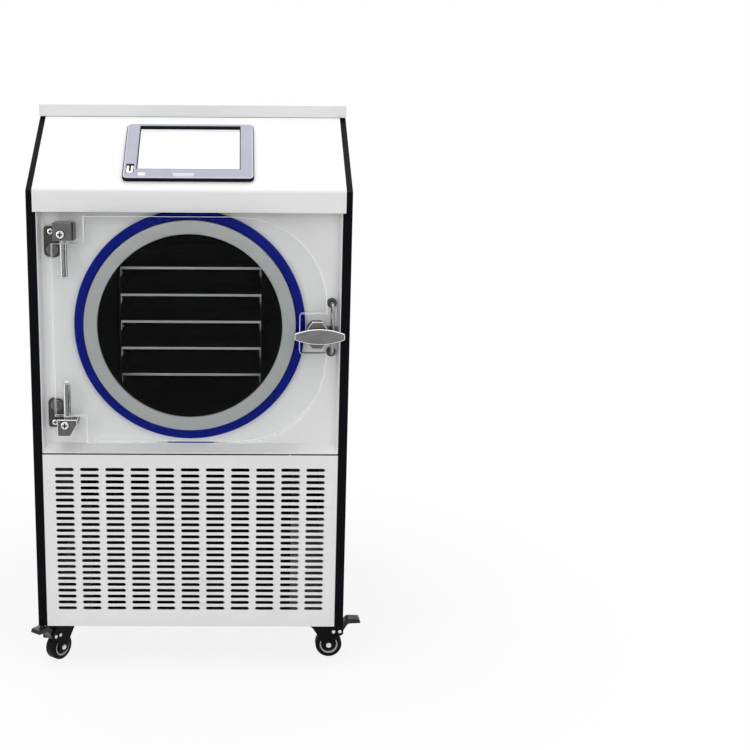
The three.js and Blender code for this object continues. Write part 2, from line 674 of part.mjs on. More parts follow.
function basePan() {
  const front = LAND_STEP + SHEET + FIT;
  const rear = DEPTH - front;
  const half = INNER_X - FIT;
  const outer = block([-half, half], [front, rear], [BASE_Z, PAN_FLOOR_Z + PAN_UPSTAND]);
  const inner = block(
    [-half + PAN_WALL, half - PAN_WALL],
    [front + PAN_WALL, rear - PAN_WALL],
    [PAN_FLOOR_Z, PAN_FLOOR_Z + 2 * PAN_UPSTAND],
  );
  return cut(outer, inner);
}

/** Depth of the hood's face at a height, for a face that stands off the side panels by an offset. */
function slopeY(offset, z) {
  return (z - LIP_TOP_Z - offset / Math.cos(SLOPE_ANGLE)) / Math.tan(SLOPE_ANGLE);
}

/** Section of the hood between two stand-offs from the side panels' edges. */
function hoodSection(outer, inner, bottom, top, radius) {
  const corner = (offset) => LIP_TOP_Z + offset / Math.cos(SLOPE_ANGLE) - offset * Math.tan(SLOPE_ANGLE);
  return outline(
    [
      [-outer, bottom],
      [-inner, bottom],
      [-inner, corner(inner)],
      [slopeY(inner, top), top],
      [slopeY(outer, top), top],
      [-outer, corner(outer), radius],
    ],
    12,
  );
}

function controlHood() {
  const half = SIDE_X - HOOD_SIDE_INSET;
  const top = TOP_Z - FIT;
  const skin = bar(hoodSection(HOOD_PROUD, FIT, LIP_BOTTOM_Z, top, LIP_RADIUS), -half, half);
  const inside = hoodSection(
    HOOD_PROUD - SHEET,
    -SHEET,
    LIP_BOTTOM_Z + SHEET,
    top + SHEET,
    LIP_RADIUS - SHEET,
  );
  const opening = onSlope(
    block(
      [-BEZEL_WIDTH / 2 + SCREEN_BODY_INSET - FIT, BEZEL_WIDTH / 2 - SCREEN_BODY_INSET + FIT],
      [SCREEN_BODY_INSET - FIT, BEZEL_HEIGHT - SCREEN_BODY_INSET + FIT],
      [-2 * HOOD_PROUD, HOOD_PROUD],
    ).translate(BEZEL_MIDDLE_X, BEZEL_ABOVE_LIP, 0),
  );
  return cut(skin, bar(inside, -half + SHEET, half - SHEET), opening);
}

/** Lower edge of the sloped face, on its outer surface. */
function slopeFoot() {
  const z = LIP_TOP_Z + HOOD_PROUD / Math.cos(SLOPE_ANGLE) - HOOD_PROUD * Math.tan(SLOPE_ANGLE);
  return new THREE.Vector3(0, -HOOD_PROUD, z);
}

/** Moves a geometry into the cabinet from the slope's frame: x across, y up the slope, z out of it. */
function onSlope(geometry) {
  const foot = slopeFoot();
  return geometry.rotateX(SLOPE_ANGLE).translate(foot.x, foot.y, foot.z);
}

function topCover() {
  const half = SIDE_X + COVER_SIDE;
  const front = slopeY(HOOD_PROUD, TOP_Z) - COVER_FRONT;
  const rear = DEPTH + COVER_SIDE;
  const seat = TOP_Z + FIT;
  const top = seat + COVER_HEIGHT;
  const walls = block([-half, half], [front, rear], [seat, top]);
  const hollow = block(
    [-half + SHEET, half - SHEET],
    [front + SHEET, rear - SHEET],
    [seat + SHEET, top - SHEET],
  );
  const mouth = block(
    [-half + COVER_RIM, half - COVER_RIM],
    [front + COVER_RIM, rear - COVER_RIM],
    [seat - SHEET, seat + 2 * SHEET],
  );
  return cut(walls, hollow, mouth);
}

/** Four strips along the edges of a panel, as [x range, z range] pairs. */
function edgeStrips(half, bottom, top, width) {
  return [
    [[-half, half], [bottom, bottom + width]],
    [[-half, half], [top - width, top]],
    [[-half, -half + width], [bottom, top]],
    [[half - width, half], [bottom, top]],
  ];
}

/** How many copies at a pitch fit a length, with the outer ones at a margin from its ends or further in. */
function copies(length, margin, pitch) {
  return Math.floor((length - 2 * margin) / pitch) + 1;
}

/** Slots of one size in rows and columns round the middle line, from the lowest row up. */
function slotField({ columns, rows, pitchX, pitchZ, length, height, lowestZ }, through) {
  const slots = [];
  for (let row = 0; row < rows; row++) {
    const z = lowestZ + row * pitchZ;
    for (let column = 0; column < columns; column++) {
      const x = (column - (columns - 1) / 2) * pitchX;
      slots.push(block([x - length / 2, x + length / 2], through, [z - height / 2, z + height / 2]));
    }
  }
  return mergeGeometries(slots);
}

function frontGrille() {
  const back = LAND_STEP - FIT;
  const rows = copies(GRILLE_HEIGHT, GRILLE_TOP_MARGIN, GRILLE_PITCH_Z);
  const slots = slotField(
    {
      columns: copies(2 * PANEL_X, GRILLE_SIDE_MARGIN, GRILLE_PITCH_X),
      rows,
      pitchX: GRILLE_PITCH_X,
      pitchZ: GRILLE_PITCH_Z,
      length: GRILLE_SLOT_LENGTH,
      height: GRILLE_SLOT_HEIGHT,
      lowestZ: GRILLE_TOP_Z - GRILLE_TOP_MARGIN - (rows - 1) * GRILLE_PITCH_Z,
    },
    [-SHEET, 2 * SHEET],
  );
  const face = block([-PANEL_X, PANEL_X], [-PROUD, SHEET - PROUD], [BASE_Z, GRILLE_TOP_Z]);
  const hems = edgeStrips(PANEL_X, BASE_Z, GRILLE_TOP_Z, HEM);
  return cut(join(face, ...hems.map(([x, z]) => block(x, [0, back], z))), slots);
}

/** Dished fascia whose bevelled sides and sill lead back to the face round the chamber. */
function frontFascia() {
  const back = FASCIA_RECESS + FASCIA_SHEET;
  const above = FASCIA_TOP_Z + FASCIA_RIM;
  const outside = taperedBlock(
    FASCIA_RIM_STEP,
    [[-PANEL_X, PANEL_X], [FASCIA_BOTTOM_Z, FASCIA_TOP_Z]],
    back,
    [
      [-PANEL_X + FASCIA_SIDE_BEVEL - FASCIA_RIM / 2, PANEL_X - FASCIA_SIDE_BEVEL + FASCIA_RIM / 2],
      [FASCIA_BOTTOM_Z + FASCIA_SILL_BEVEL - FASCIA_RIM / 2, FASCIA_TOP_Z],
    ],
  );
  const dish = taperedBlock(
    FASCIA_RIM_STEP - FIT,
    [[-PANEL_X + FASCIA_RIM, PANEL_X - FASCIA_RIM], [FASCIA_BOTTOM_Z + FASCIA_RIM, above]],
    FASCIA_RECESS,
    [
      [-PANEL_X + FASCIA_RIM + FASCIA_SIDE_BEVEL, PANEL_X - FASCIA_RIM - FASCIA_SIDE_BEVEL],
      [FASCIA_BOTTOM_Z + FASCIA_RIM + FASCIA_SILL_BEVEL, above],
    ],
  );
  const mouth = rod('y', TRIM_BORE, 0, back + SHEET, ROUND_SEGMENTS);
  return cut(outside, dish, mouth.translate(0, 0, CHAMBER_Z));
}

// ---------------------------------------------------------------- rear

function rearUpperPanel() {
  const y0 = DEPTH - SHEET;
  const bottom = REAR_SEAM_Z + PANEL_GAP;
  const top = TOP_Z - FIT;
  const sheet = block([-PANEL_X, PANEL_X], [y0, DEPTH], [bottom, top]);
  const through = [y0 - SHEET, DEPTH + SHEET];
  const window = (x, z, width, height) => {
    const [w, h] = [width / 2 + FIT, height / 2 + FIT];
    return block([x - w, x + w], through, [z - h, z + h]);
  };
  const ventHole = rod('y', VENT_STUB_RADIUS + FIT, ...through, 24).translate(VENT_X, 0, VENT_Z);
  return cut(
    sheet,
    window(ELECTRICS_X, SWITCH_Z, SWITCH_BODY_WIDTH, SWITCH_BODY_HEIGHT),
    window(ELECTRICS_X, INLET_Z, ...socketBodySize(INLET_HEIGHT)),
    window(ELECTRICS_X, OUTLET_Z, ...socketBodySize(OUTLET_HEIGHT)),
    ventHole,
  );
}

function rearCover() {
  const outer = DEPTH + REAR_PROUD;
  const slots = slotField(
    {
      columns: copies(2 * PANEL_X, REAR_SIDE_MARGIN, REAR_PITCH_X),
      rows: REAR_ROWS,
      pitchX: REAR_PITCH_X,
      pitchZ: REAR_PITCH_Z,
      length: REAR_SLOT_LENGTH,
      height: REAR_SLOT_HEIGHT,
      lowestZ: BASE_Z + REAR_BOTTOM_MARGIN,
    },
    [outer - 2 * SHEET, outer + SHEET],
  );
  const seat = DEPTH - LAND_STEP + FIT;
  const hems = edgeStrips(PANEL_X, BASE_Z, REAR_SEAM_Z, HEM);
  const sheet = join(
    block([-PANEL_X, PANEL_X], [outer - SHEET, outer], [BASE_Z, REAR_SEAM_Z]),
    ...hems.map(([x, z]) => block(x, [seat, DEPTH], z)),
    ...rearScrewPlaces().map(([x, z]) =>
      rod('y', COVER_SCREW_RADIUS, outer - SHEET / 2, outer + COVER_SCREW_HEIGHT, 8).translate(x, 0, z),
    ),
  );
  const portHole = rod('y', PORT_HOLE, seat - SHEET, outer + SHEET, 32).translate(0, 0, CHAMBER_Z);
  return cut(sheet, slots, portHole);
}

/** Ten screws: four down each side and one in the middle of the top and bottom edges. */
function rearScrewPlaces() {
  const x = PANEL_X - COVER_SCREW_INSET_X;
  const low = BASE_Z + COVER_SCREW_INSET_Z;
  const high = REAR_SEAM_Z - COVER_SCREW_INSET_Z;
  const places = [[0, low], [0, high]];
  for (let step = 0; step < 4; step++) {
    const z = low + ((high - low) * step) / 3;
    places.push([-x, z], [x, z]);
  }
  return places;
}

function socketBodySize(flangeHeight) {
  return [PLUG_CAVITY_WIDTH + 2 * SHEET, flangeHeight - 2 * FITTING_FLANGE];
}

/** Flange with pointed ends, as on a screwed-in mains socket. */
function socketFlange(width, height) {
  const shoulder = PLUG_CAVITY_WIDTH / 2 + FITTING_FLANGE;
  const tip = SOCKET_TIP_HEIGHT / 2;
  return outline([
    [-shoulder, -height / 2],
    [shoulder, -height / 2],
    [width / 2, -tip],
    [width / 2, tip],
    [shoulder, height / 2],
    [-shoulder, height / 2],
    [-width / 2, tip],
    [-width / 2, -tip],
  ]);
}

/** Plug opening with its two upper corners cut off. */
function plugOutline(width, height, middleZ) {
  const corner = height / 3;
  return outline([
    [-width / 2, middleZ - height / 2],
    [width / 2, middleZ - height / 2],
    [width / 2, middleZ + height / 2 - corner],
    [width / 2 - corner, middleZ + height / 2],
    [-width / 2 + corner, middleZ + height / 2],
    [-width / 2, middleZ + height / 2 - corner],
  ]);
}

/** Flange, the body behind it and two screws. Its middle is at the origin on the panel's face. */
function socketBlank(width, height) {
  const [halfWidth, halfHeight] = socketBodySize(height).map((size) => size / 2);
  const screwX = width / 2 - SCREW_HEAD_RADIUS + 1;
  const screw = (x) =>
    rod('y', FITTING_SCREW_RADIUS, FITTING_FLANGE, FITTING_FLANGE + 1, 8).translate(x, 0, 0);
  return join(
    plate(socketFlange(width, height), FIT, FIT + FITTING_FLANGE),
    block([-halfWidth, halfWidth], [-INLET_BODY_DEPTH, 2 * FIT], [-halfHeight, halfHeight]),
    screw(-screwX),
    screw(screwX),
  );
}

function fuseMiddle() {
  return -INLET_HEIGHT / 2 + FITTING_FLANGE + FUSE_HEIGHT / 2;
}

function powerInlet() {
  const face = FIT + FITTING_FLANGE;
  const cavityZ = fuseMiddle() + FUSE_HEIGHT / 2 + FITTING_FLANGE + PLUG_CAVITY_HEIGHT / 2 - 1;
  const cavity = plate(
    plugOutline(PLUG_CAVITY_WIDTH, PLUG_CAVITY_HEIGHT, cavityZ),
    face - PLUG_CAVITY_DEPTH,
    face + SHEET,
  );
  const slot = block(
    [-FUSE_WIDTH / 2 - FIT, FUSE_WIDTH / 2 + FIT],
    [face - FUSE_DEPTH - FIT, face + SHEET],
    [fuseMiddle() - FUSE_HEIGHT / 2 - FIT, fuseMiddle() + FUSE_HEIGHT / 2 + FIT],
  );
  const root = face - PLUG_CAVITY_DEPTH;
  const pin = (x, z) =>
    block(
      [x - PLUG_PIN_WIDTH / 2, x + PLUG_PIN_WIDTH / 2],
      [root - 1, root + PLUG_PIN_LENGTH],
      [z - PLUG_PIN_HEIGHT / 2, z + PLUG_PIN_HEIGHT / 2],
    );
  return join(
    cut(socketBlank(INLET_WIDTH, INLET_HEIGHT), cavity, slot),
    pin(-PLUG_PIN_SPREAD, cavityZ - PLUG_PIN_DROP),
    pin(PLUG_PIN_SPREAD, cavityZ - PLUG_PIN_DROP),
    pin(0, cavityZ + PLUG_PIN_RISE),
  );
}

function fuseDrawer() {
  const face = FIT + FITTING_FLANGE;
  const middle = fuseMiddle();
  const bottom = middle - FUSE_HEIGHT / 2;
  const drawer = block(
    [-FUSE_WIDTH / 2, FUSE_WIDTH / 2],
    [face - FUSE_DEPTH, face + FUSE_PROUD],
    [bottom, bottom + FUSE_HEIGHT],
  );
  const fingerNotch = block(
    [-FINGER_NOTCH_WIDTH / 2, FINGER_NOTCH_WIDTH / 2],
    [face - FINGER_NOTCH_DEPTH, face + SHEET],
    [bottom - 1, bottom + FUSE_HEIGHT * 0.3],
  );
  const fuseBed = block(
    [-FUSE_BED_WIDTH / 2, FUSE_BED_WIDTH / 2],
    [face - FUSE_DEPTH + FUSE_BED_WALL, face - FUSE_FACE_WALL],
    [middle, middle + FUSE_HEIGHT],
  );
  return cut(drawer, fingerNotch, fuseBed);
}

function powerOutlet() {
  const face = FIT + FITTING_FLANGE;
  const bottom = face - OUTLET_RING_DEPTH;
  const [width, height] = [PLUG_CAVITY_WIDTH, PLUG_CAVITY_HEIGHT + SLIT_WIDTH];
  const core = plugOutline(width - 2 * OUTLET_RING_WIDTH, height - 2 * OUTLET_RING_WIDTH, 0);
  const ring = cut(
    plate(plugOutline(width, height, 0), bottom, face + SHEET),
    plate(core, bottom - 1, face + 2 * SHEET),
  );
  const slit = (x, z) =>
    block(
      [x - SLIT_WIDTH / 2, x + SLIT_WIDTH / 2],
      [face - SLIT_DEPTH, face + SHEET],
      [z - SLIT_HEIGHT / 2, z + SLIT_HEIGHT / 2],
    );
  return cut(
    socketBlank(OUTLET_WIDTH, OUTLET_HEIGHT),
    ring,
    slit(-SLIT_SPREAD, -SLIT_DROP),
    slit(SLIT_SPREAD, -SLIT_DROP),
    slit(0, SLIT_WIDTH),
  );
}

/** Bezel and hollow body of the mains switch, with its middle at the origin on the panel's face. */
function switchBezel() {
  const face = FIT + SWITCH_FLANGE;
  const bodyX = SWITCH_BODY_WIDTH / 2;
  const bodyZ = SWITCH_BODY_HEIGHT / 2;
  const well = block(
    [-bodyX + SWITCH_WALL, bodyX - SWITCH_WALL],
    [face - ROCKER_AXIS_DEPTH - 2 * ROCKER_BOTTOM, face + SHEET],
    [-bodyZ + SWITCH_WALL, bodyZ - SWITCH_WALL],
  );
  return cut(
    join(
      plate(
        outline([
          [-SWITCH_WIDTH / 2, -SWITCH_HEIGHT / 2, 1.5],
          [SWITCH_WIDTH / 2, -SWITCH_HEIGHT / 2, 1.5],
          [SWITCH_WIDTH / 2, SWITCH_HEIGHT / 2, 1.5],
          [-SWITCH_WIDTH / 2, SWITCH_HEIGHT / 2, 1.5],
        ]),
        FIT,
        face,
      ),
      block([-bodyX, bodyX], [face - SWITCH_BODY_DEPTH, 2 * FIT], [-bodyZ, bodyZ]),
    ),
    well,
  );
}

/** Shallow V of the rocker, about its own axis, tilted so that its upper end stands out. */
function switchRocker() {
  const half = SWITCH_BODY_WIDTH / 2 - SWITCH_WALL - FIT;
  const foot = ROCKER_HALF_LENGTH - 2;
  const section = outline([
    [ROCKER_TOP, -ROCKER_HALF_LENGTH],
    [ROCKER_MIDDLE, 0],
    [ROCKER_TOP, ROCKER_HALF_LENGTH],
    [-ROCKER_BOTTOM, foot],
    [-ROCKER_BOTTOM, -foot],
  ]);
  return bar(section, -half, half);
}

function ventFitting() {
  const face = FIT;
  return turned(
    [
      [0, -16],
      [VENT_STUB_RADIUS, -16],
      [VENT_STUB_RADIUS, face],
      [VENT_FLANGE_RADIUS, face],
      [VENT_FLANGE_RADIUS, face + 2],
      [VENT_FLANGE_RADIUS - 4.5, face + 4.5],
      [VENT_FLANGE_RADIUS - 6, face + 8.5],
      [VENT_STUB_RADIUS + 1, face + 8.5],
      [VENT_STUB_RADIUS + 1, face + 5],
      [VENT_STUB_RADIUS - 0.8, face + 5],
      [VENT_STUB_RADIUS - 0.8, face + 7.5],
      [0, face + 7.5],
    ],
    24,
  );
}

// ---------------------------------------------------------------- chamber, about its own axis

function chamberShell() {
  const inside = CHAMBER_REAR_Y - REAR_PLATE;
  const lipBack = FLANGE_FRONT_Y + MOUTH_LIP;
  return turned([
    [MOUTH_RADIUS, FLANGE_FRONT_Y],
    [FLANGE_RADIUS, FLANGE_FRONT_Y],
    [FLANGE_RADIUS, FLANGE_BACK_Y],
    [SHELL_RADIUS, FLANGE_BACK_Y],
    [SHELL_RADIUS, CHAMBER_REAR_Y],
    [PORT_BORE, CHAMBER_REAR_Y],
    [PORT_BORE, inside],
    [CHAMBER_RADIUS, inside],
    [CHAMBER_RADIUS, lipBack],
    [MOUTH_RADIUS, lipBack],
  ]);
}

function doorGasket() {
  const bore = MOUTH_RADIUS - GASKET_OVERHANG;
  const back = GASKET_FRONT_Y + GASKET_THICKNESS;
  return turned([
    [bore, GASKET_FRONT_Y],
    [FLANGE_RADIUS, GASKET_FRONT_Y],
    [FLANGE_RADIUS, back],
    [bore, back],
  ]);
}

function trimRing() {
  const back = FASCIA_RECESS - FIT;
  const front = back - TRIM_HEIGHT;
  return turned([
    [TRIM_BORE, front],
    [TRIM_RADIUS - TRIM_CHAMFER, front],
    [TRIM_RADIUS, front + TRIM_CHAMFER],
    [TRIM_RADIUS, back],
    [TRIM_BORE, back],
  ]);
}

/** Inner face of a rack plate: its four long edges touch the chamber's bore. */
function rackInnerX() {
  const facetBore = CHAMBER_RADIUS * Math.cos(Math.PI / ROUND_SEGMENTS) - FIT;
  return Math.sqrt(facetBore ** 2 - (RACK_HEIGHT / 2) ** 2) - RACK_PLATE;
}

function rackRange() {
  return [FLANGE_FRONT_Y + RACK_SET_BACK, CHAMBER_REAR_Y - REAR_PLATE - RACK_REAR_GAP];
}

function rackPlate(side) {
  const x = [side * rackInnerX(), side * (rackInnerX() + RACK_PLATE)].sort((a, b) => a - b);
  return block(x, rackRange(), [-RACK_HEIGHT / 2, RACK_HEIGHT / 2]);
}

/** Spacing at which the lowest shelf's flanges end level with the rack plates. */
function shelfPitch() {
  return (RACK_HEIGHT - 2 * SHELF_FLANGE) / (SHELF_COUNT - 1);
}

/** Flat shelf with a flange turned down along each side, against the rack plates. */
function shelf() {
  const half = rackInnerX() - FIT;
  return join(
    block([-half, half], rackRange(), [-SHELF_THICKNESS / 2, SHELF_THICKNESS / 2]),
    block([-half, -half + SHELF_FLANGE_SHEET], rackRange(), [-SHELF_FLANGE, 0]),
    block([half - SHELF_FLANGE_SHEET, half], rackRange(), [-SHELF_FLANGE, 0]),
  );
}

function vacuumPort() {
  const end = DEPTH + PORT_PROTRUSION;
  const tubeRadius = PORT_BORE + PORT_WALL;
  const cone = PORT_FLANGE - tubeRadius;
  return turned(
    [
      [PORT_BORE, CHAMBER_REAR_Y + FIT],
      [tubeRadius, CHAMBER_REAR_Y + FIT],
      [tubeRadius, end - PORT_RIM - cone],
      [PORT_FLANGE, end - PORT_RIM],
      [PORT_FLANGE, end],
      [PORT_BORE, end],
    ],
    32,
  );
}

// ---------------------------------------------------------------- door and its hinges

/** Height of the door's edge in a hinge notch. end is 1 for the upper notch and -1 for the lower one. */
function notchEdge(end) {
  const edge = end > 0 ? DOOR_TOP_Z : DOOR_BOTTOM_Z;
  return edge - end * (ARM_GAP + ARM_HEIGHT + HINGE_NOTCH_END_GAP);
}

/** Lower and upper edge of the latch's notch. */
function latchNotchRange() {
  return [
    LATCH_Z - BLOCK_HEIGHT / 2 - LATCH_NOTCH_BELOW_BLOCK,
    LATCH_Z + BLOCK_HEIGHT / 2 + LATCH_NOTCH_ABOVE_BLOCK,
  ];
}

function doorOutline() {
  const [latchLow, latchHigh] = latchNotchRange();
  return outline(
    [
      [HINGE_NOTCH_X, DOOR_BOTTOM_Z],
      [DOOR_RIGHT, DOOR_BOTTOM_Z, DOOR_CORNER_RADIUS],
      [DOOR_RIGHT, latchLow],
      [LATCH_NOTCH_X, latchLow, NOTCH_RADIUS],
      [LATCH_NOTCH_X, latchHigh, NOTCH_RADIUS],
      [DOOR_RIGHT, latchHigh],
      [DOOR_RIGHT, DOOR_TOP_Z, DOOR_CORNER_RADIUS],
      [HINGE_NOTCH_X, DOOR_TOP_Z],
      [HINGE_NOTCH_X, notchEdge(1), NOTCH_RADIUS],
      [DOOR_LEFT, notchEdge(1)],
      [DOOR_LEFT, notchEdge(-1)],
      [HINGE_NOTCH_X, notchEdge(-1), NOTCH_RADIUS],
    ],
    11.25,
  );
}

/** Pin with a pointed end. Its point is at the origin and it stands up along z. */
function pointedPin(radius, length) {
  return turned(
    [
      [0, 0],
      [radius, PIN_TIP],
      [radius, length],
      [0, length],
    ],
    12,
  ).rotateX(Math.PI / 2);
}

/** Drilled hole for one pin, which enters the door's edge in the upper or lower notch. */
function pinHole(end) {
  const depth = PIN_REACH + PIN_CLEARANCE;
  const hole = pointedPin(PIN_RADIUS + PIN_CLEARANCE, depth + SHEET);
  if (end < 0) hole.rotateX(Math.PI);
  return hole.translate(HINGE_AXIS_X, DOOR_MIDDLE_Y, notchEdge(end) - end * depth);
}

function doorPanel() {
  const studHole = rod('x', STUD_RADIUS + FIT, LATCH_NOTCH_X - STUD_DEPTH - FIT, LATCH_NOTCH_X + SHEET);
  studHole.translate(0, DOOR_MIDDLE_Y, LATCH_Z);
  return cut(plate(doorOutline(), DOOR_FRONT_Y, DOOR_BACK_Y), pinHole(1), pinHole(-1), studHole);
}

/**
 * Hinge bracket for the upper notch, about the point where the hinge axis meets the notch's edge, z up:
 * an arm that reaches forward over the pin, on a base plate with two screws.
 */
function hingeBracket([cutAcross, cutUp]) {
  const wall = FASCIA_RECESS - FIT - DOOR_MIDDLE_Y;
  const plateFace = wall - HINGE_PLATE_THICKNESS;
  const armFront = -DOOR_THICKNESS / 2 - ARM_PROUD;
  const armTop = ARM_GAP + ARM_HEIGHT;
  const plateX = [-HINGE_PLATE_LEFT, -HINGE_PLATE_LEFT + HINGE_PLATE_WIDTH];
  const plateTop = ARM_GAP + HINGE_PLATE_OVERLAP;
  const bossZ = plateTop - HINGE_PLATE_HEIGHT + HINGE_BOSS_FROM_END;
  const screwZ = plateTop - HINGE_SCREW_FROM_END;
  const armScrewZ = ARM_GAP + ARM_SCREW_FROM_EDGE;
  const arm = slab(
    outline([
      [-ARM_LEFT, armFront, 2],
      [ARM_RIGHT, armFront, 9],
      [ARM_RIGHT, plateFace + 1],
      [-ARM_LEFT, plateFace + 1],
    ]),
    ARM_GAP,
    armTop,
  );
  const base = plate(
    outline([
      [plateX[0], plateTop - HINGE_PLATE_HEIGHT, 8],
      [plateX[1], plateTop - HINGE_PLATE_HEIGHT, 8],
      [plateX[1], plateTop, 2],
      [plateX[0], plateTop, 4],
    ]),
    plateFace,
    wall,
  );
  const screw = (radius, x, y, z, height) => rod('y', radius, y - height, y + 1, 12).translate(x, 0, z);
  const bracket = join(
    arm,
    base,
    screw(HINGE_BOSS_RADIUS, -HINGE_BOSS_LEFT, plateFace, bossZ, HINGE_BOSS_HEIGHT),
    screw(SCREW_HEAD_RADIUS, -HINGE_SCREW_LEFT, plateFace, screwZ, SCREW_HEAD_HEIGHT),
    screw(SCREW_HEAD_RADIUS + 1.5, -ARM_SCREW_LEFT, armFront, armScrewZ, SCREW_HEAD_HEIGHT),
  );
  const socket = rod('z', PIN_RADIUS + FIT, 0, ARM_GAP + PIN_SOCKET + FIT);
  const cornerCut = plate(
    outline([
      [ARM_RIGHT + 1, armTop + 1],
      [ARM_RIGHT + 1, armTop - cutUp],
      [ARM_RIGHT, armTop - cutUp],
      [ARM_RIGHT - cutAcross, armTop],
      [ARM_RIGHT - cutAcross, armTop + 1],
    ]),
    armFront - 1,
    plateFace + 2,
  );
  return cutAcross > 0 ? cut(bracket, socket, cornerCut) : cut(bracket, socket);
}

/** Pins and brackets of one hinge. The lower one is the upper one turned over. */
function hinge(end, name) {
  const pin = pointedPin(PIN_RADIUS, PIN_REACH + ARM_GAP + PIN_SOCKET).translate(0, 0, -PIN_REACH);
  const bracket = hingeBracket(end > 0 ? [0, 0] : LOWER_ARM_CUT);
  return placed(
    HINGE_AXIS_X,
    DOOR_MIDDLE_Y,
    notchEdge(end),
    piece(`hinge_bracket_${name}`, end > 0 ? bracket : upsideDown(bracket), brushedSteel),
    piece(`hinge_pin_${name}`, end > 0 ? pin : upsideDown(pin), polishedSteel),
  );
}

// ---------------------------------------------------------------- latch, about its spindle

function leverOutline() {
  const points = [];
  const half = LEVER_LENGTH / 2;
  const edge = (t) => LEVER_END_HEIGHT / 2 + ((LEVER_HEIGHT - LEVER_END_HEIGHT) / 2) * (1 - t * t);
  for (const side of [-1, 1]) {
    for (let k = 0; k <= LEVER_STEPS; k++) {
      const t = -side * (-1 + (2 * k) / LEVER_STEPS);
      points.push([half * t, side * edge(t)]);
    }
  }
  return outline(points);
}

/** Lever with its hub and the spindle that turns the tongue. */
function latchHandle() {
  const blockFront = DOOR_FRONT_Y - BLOCK_PROUD;
  const leverBack = blockFront - LEVER_STANDOFF;
  return join(
    plate(leverOutline(), leverBack - LEVER_THICKNESS, leverBack, 1.5),
    rod('y', HUB_RADIUS, leverBack - 1, blockFront - FIT, 16),
    rod('y', SPINDLE_RADIUS, blockFront - 1, TONGUE_FRONT_Y + TONGUE_THICKNESS + 1.5),
  );
}

/** Block that guides the spindle, with the stud that enters the door's edge. */
function latchBlock() {
  const x = BLOCK_SHIFT;
  const [w, h] = [BLOCK_WIDTH / 2, BLOCK_HEIGHT / 2];
  const front = DOOR_FRONT_Y - BLOCK_PROUD;
  const section = outline([
    [x - w + BLOCK_CHAMFER_X, -h],
    [x + w - BLOCK_CHAMFER_X, -h],
    [x + w, -h + BLOCK_CHAMFER_Z],
    [x + w, h - BLOCK_CHAMFER_Z],
    [x + w - BLOCK_CHAMFER_X, h],
    [x - w + BLOCK_CHAMFER_X, h],
    [x - w, h - BLOCK_CHAMFER_Z],
    [x - w, -h + BLOCK_CHAMFER_Z],
  ]);
  const studEnd = -SPINDLE_FROM_NOTCH - STUD_DEPTH;
  return cut(
    join(
      plate(section, front, front + BLOCK_DEPTH, 1),
      rod('x', STUD_RADIUS, studEnd, x - w + 1).translate(0, DOOR_MIDDLE_Y, 0),
    ),
    rod('y', SPINDLE_RADIUS + FIT, front - 1, front + BLOCK_DEPTH + 1),
  );
}

function latchTongue() {
  const half = TONGUE_HEIGHT / 2;
  const back = TONGUE_FRONT_Y + TONGUE_THICKNESS;
  const face = outline([
    [-half, -half, 4],
    [TONGUE_REACH, -half, 3],
    [TONGUE_REACH, half, 3],
    [-half, half, 4],
  ]);
  return cut(
    plate(face, TONGUE_FRONT_Y, back),
    rod('y', SPINDLE_RADIUS + FIT, TONGUE_FRONT_Y - 1, back + 1),
  );
}

/** Bent rod on two bosses that the tongue turns in behind. */
function latchStaple() {
  const rodY = TONGUE_FRONT_Y - STAPLE_CLEARANCE - STAPLE_ROD_RADIUS;
  const wall = FASCIA_RECESS - FIT;
  const top = LATCH_Z + STAPLE_ABOVE_SPINDLE;
  const bottom = LATCH_Z - STAPLE_BELOW_SPINDLE;
  const path = roundedPath(
    [
      new THREE.Vector3(STAPLE_X, wall - 1, top),
      new THREE.Vector3(STAPLE_X, rodY, top),
      new THREE.Vector3(STAPLE_X, rodY, bottom),
      new THREE.Vector3(STAPLE_X, wall - 1, bottom),
    ],
    STAPLE_BEND,
  );
  const boss = (z) =>
    rod('y', STAPLE_BOSS_RADIUS, wall - STAPLE_BOSS_HEIGHT, wall, 16).translate(STAPLE_X, 0, z);
  return join(tube(path, STAPLE_ROD_RADIUS, 24, 8), boss(top), boss(bottom));
}

// ---------------------------------------------------------------- touch screen, in the slope's own frame

/** Rounded bezel with the display's recess, and the housing behind it. */
function screenBezel() {
  const [w, h] = [BEZEL_WIDTH / 2, BEZEL_HEIGHT];
  const frame = slab(
    outline([
      [-w, 0, BEZEL_RADIUS],
      [w, 0, BEZEL_RADIUS],
      [w, h, BEZEL_RADIUS],
      [-w, h, BEZEL_RADIUS],
    ]),
    FIT,
    BEZEL_PROUD,
  );
  const housing = block(
    [-w + SCREEN_BODY_INSET, w - SCREEN_BODY_INSET],
    [SCREEN_BODY_INSET, h - SCREEN_BODY_INSET],
    [-SCREEN_BODY_DEPTH, 2 * FIT],
  );
  const [y0, y1] = screenRange();
  const recess = block(
    [-SCREEN_WIDTH / 2, SCREEN_WIDTH / 2],
    [y0, y1],
    [BEZEL_PROUD - SCREEN_RECESS - DISPLAY_THICKNESS - FIT, 2 * BEZEL_PROUD],
  );
  return cut(join(frame, housing), recess);
}

function screenRange() {
  const top = BEZEL_HEIGHT - SCREEN_TOP_MARGIN;
  return [top - SCREEN_HEIGHT, top];
}

function screenDisplay() {
  const [y0, y1] = screenRange();
  const front = BEZEL_PROUD - SCREEN_RECESS;
  return block(
    [-SCREEN_WIDTH / 2 + FIT, SCREEN_WIDTH / 2 - FIT],
    [y0 + FIT, y1 - FIT],
    [front - DISPLAY_THICKNESS, front],
  );
}

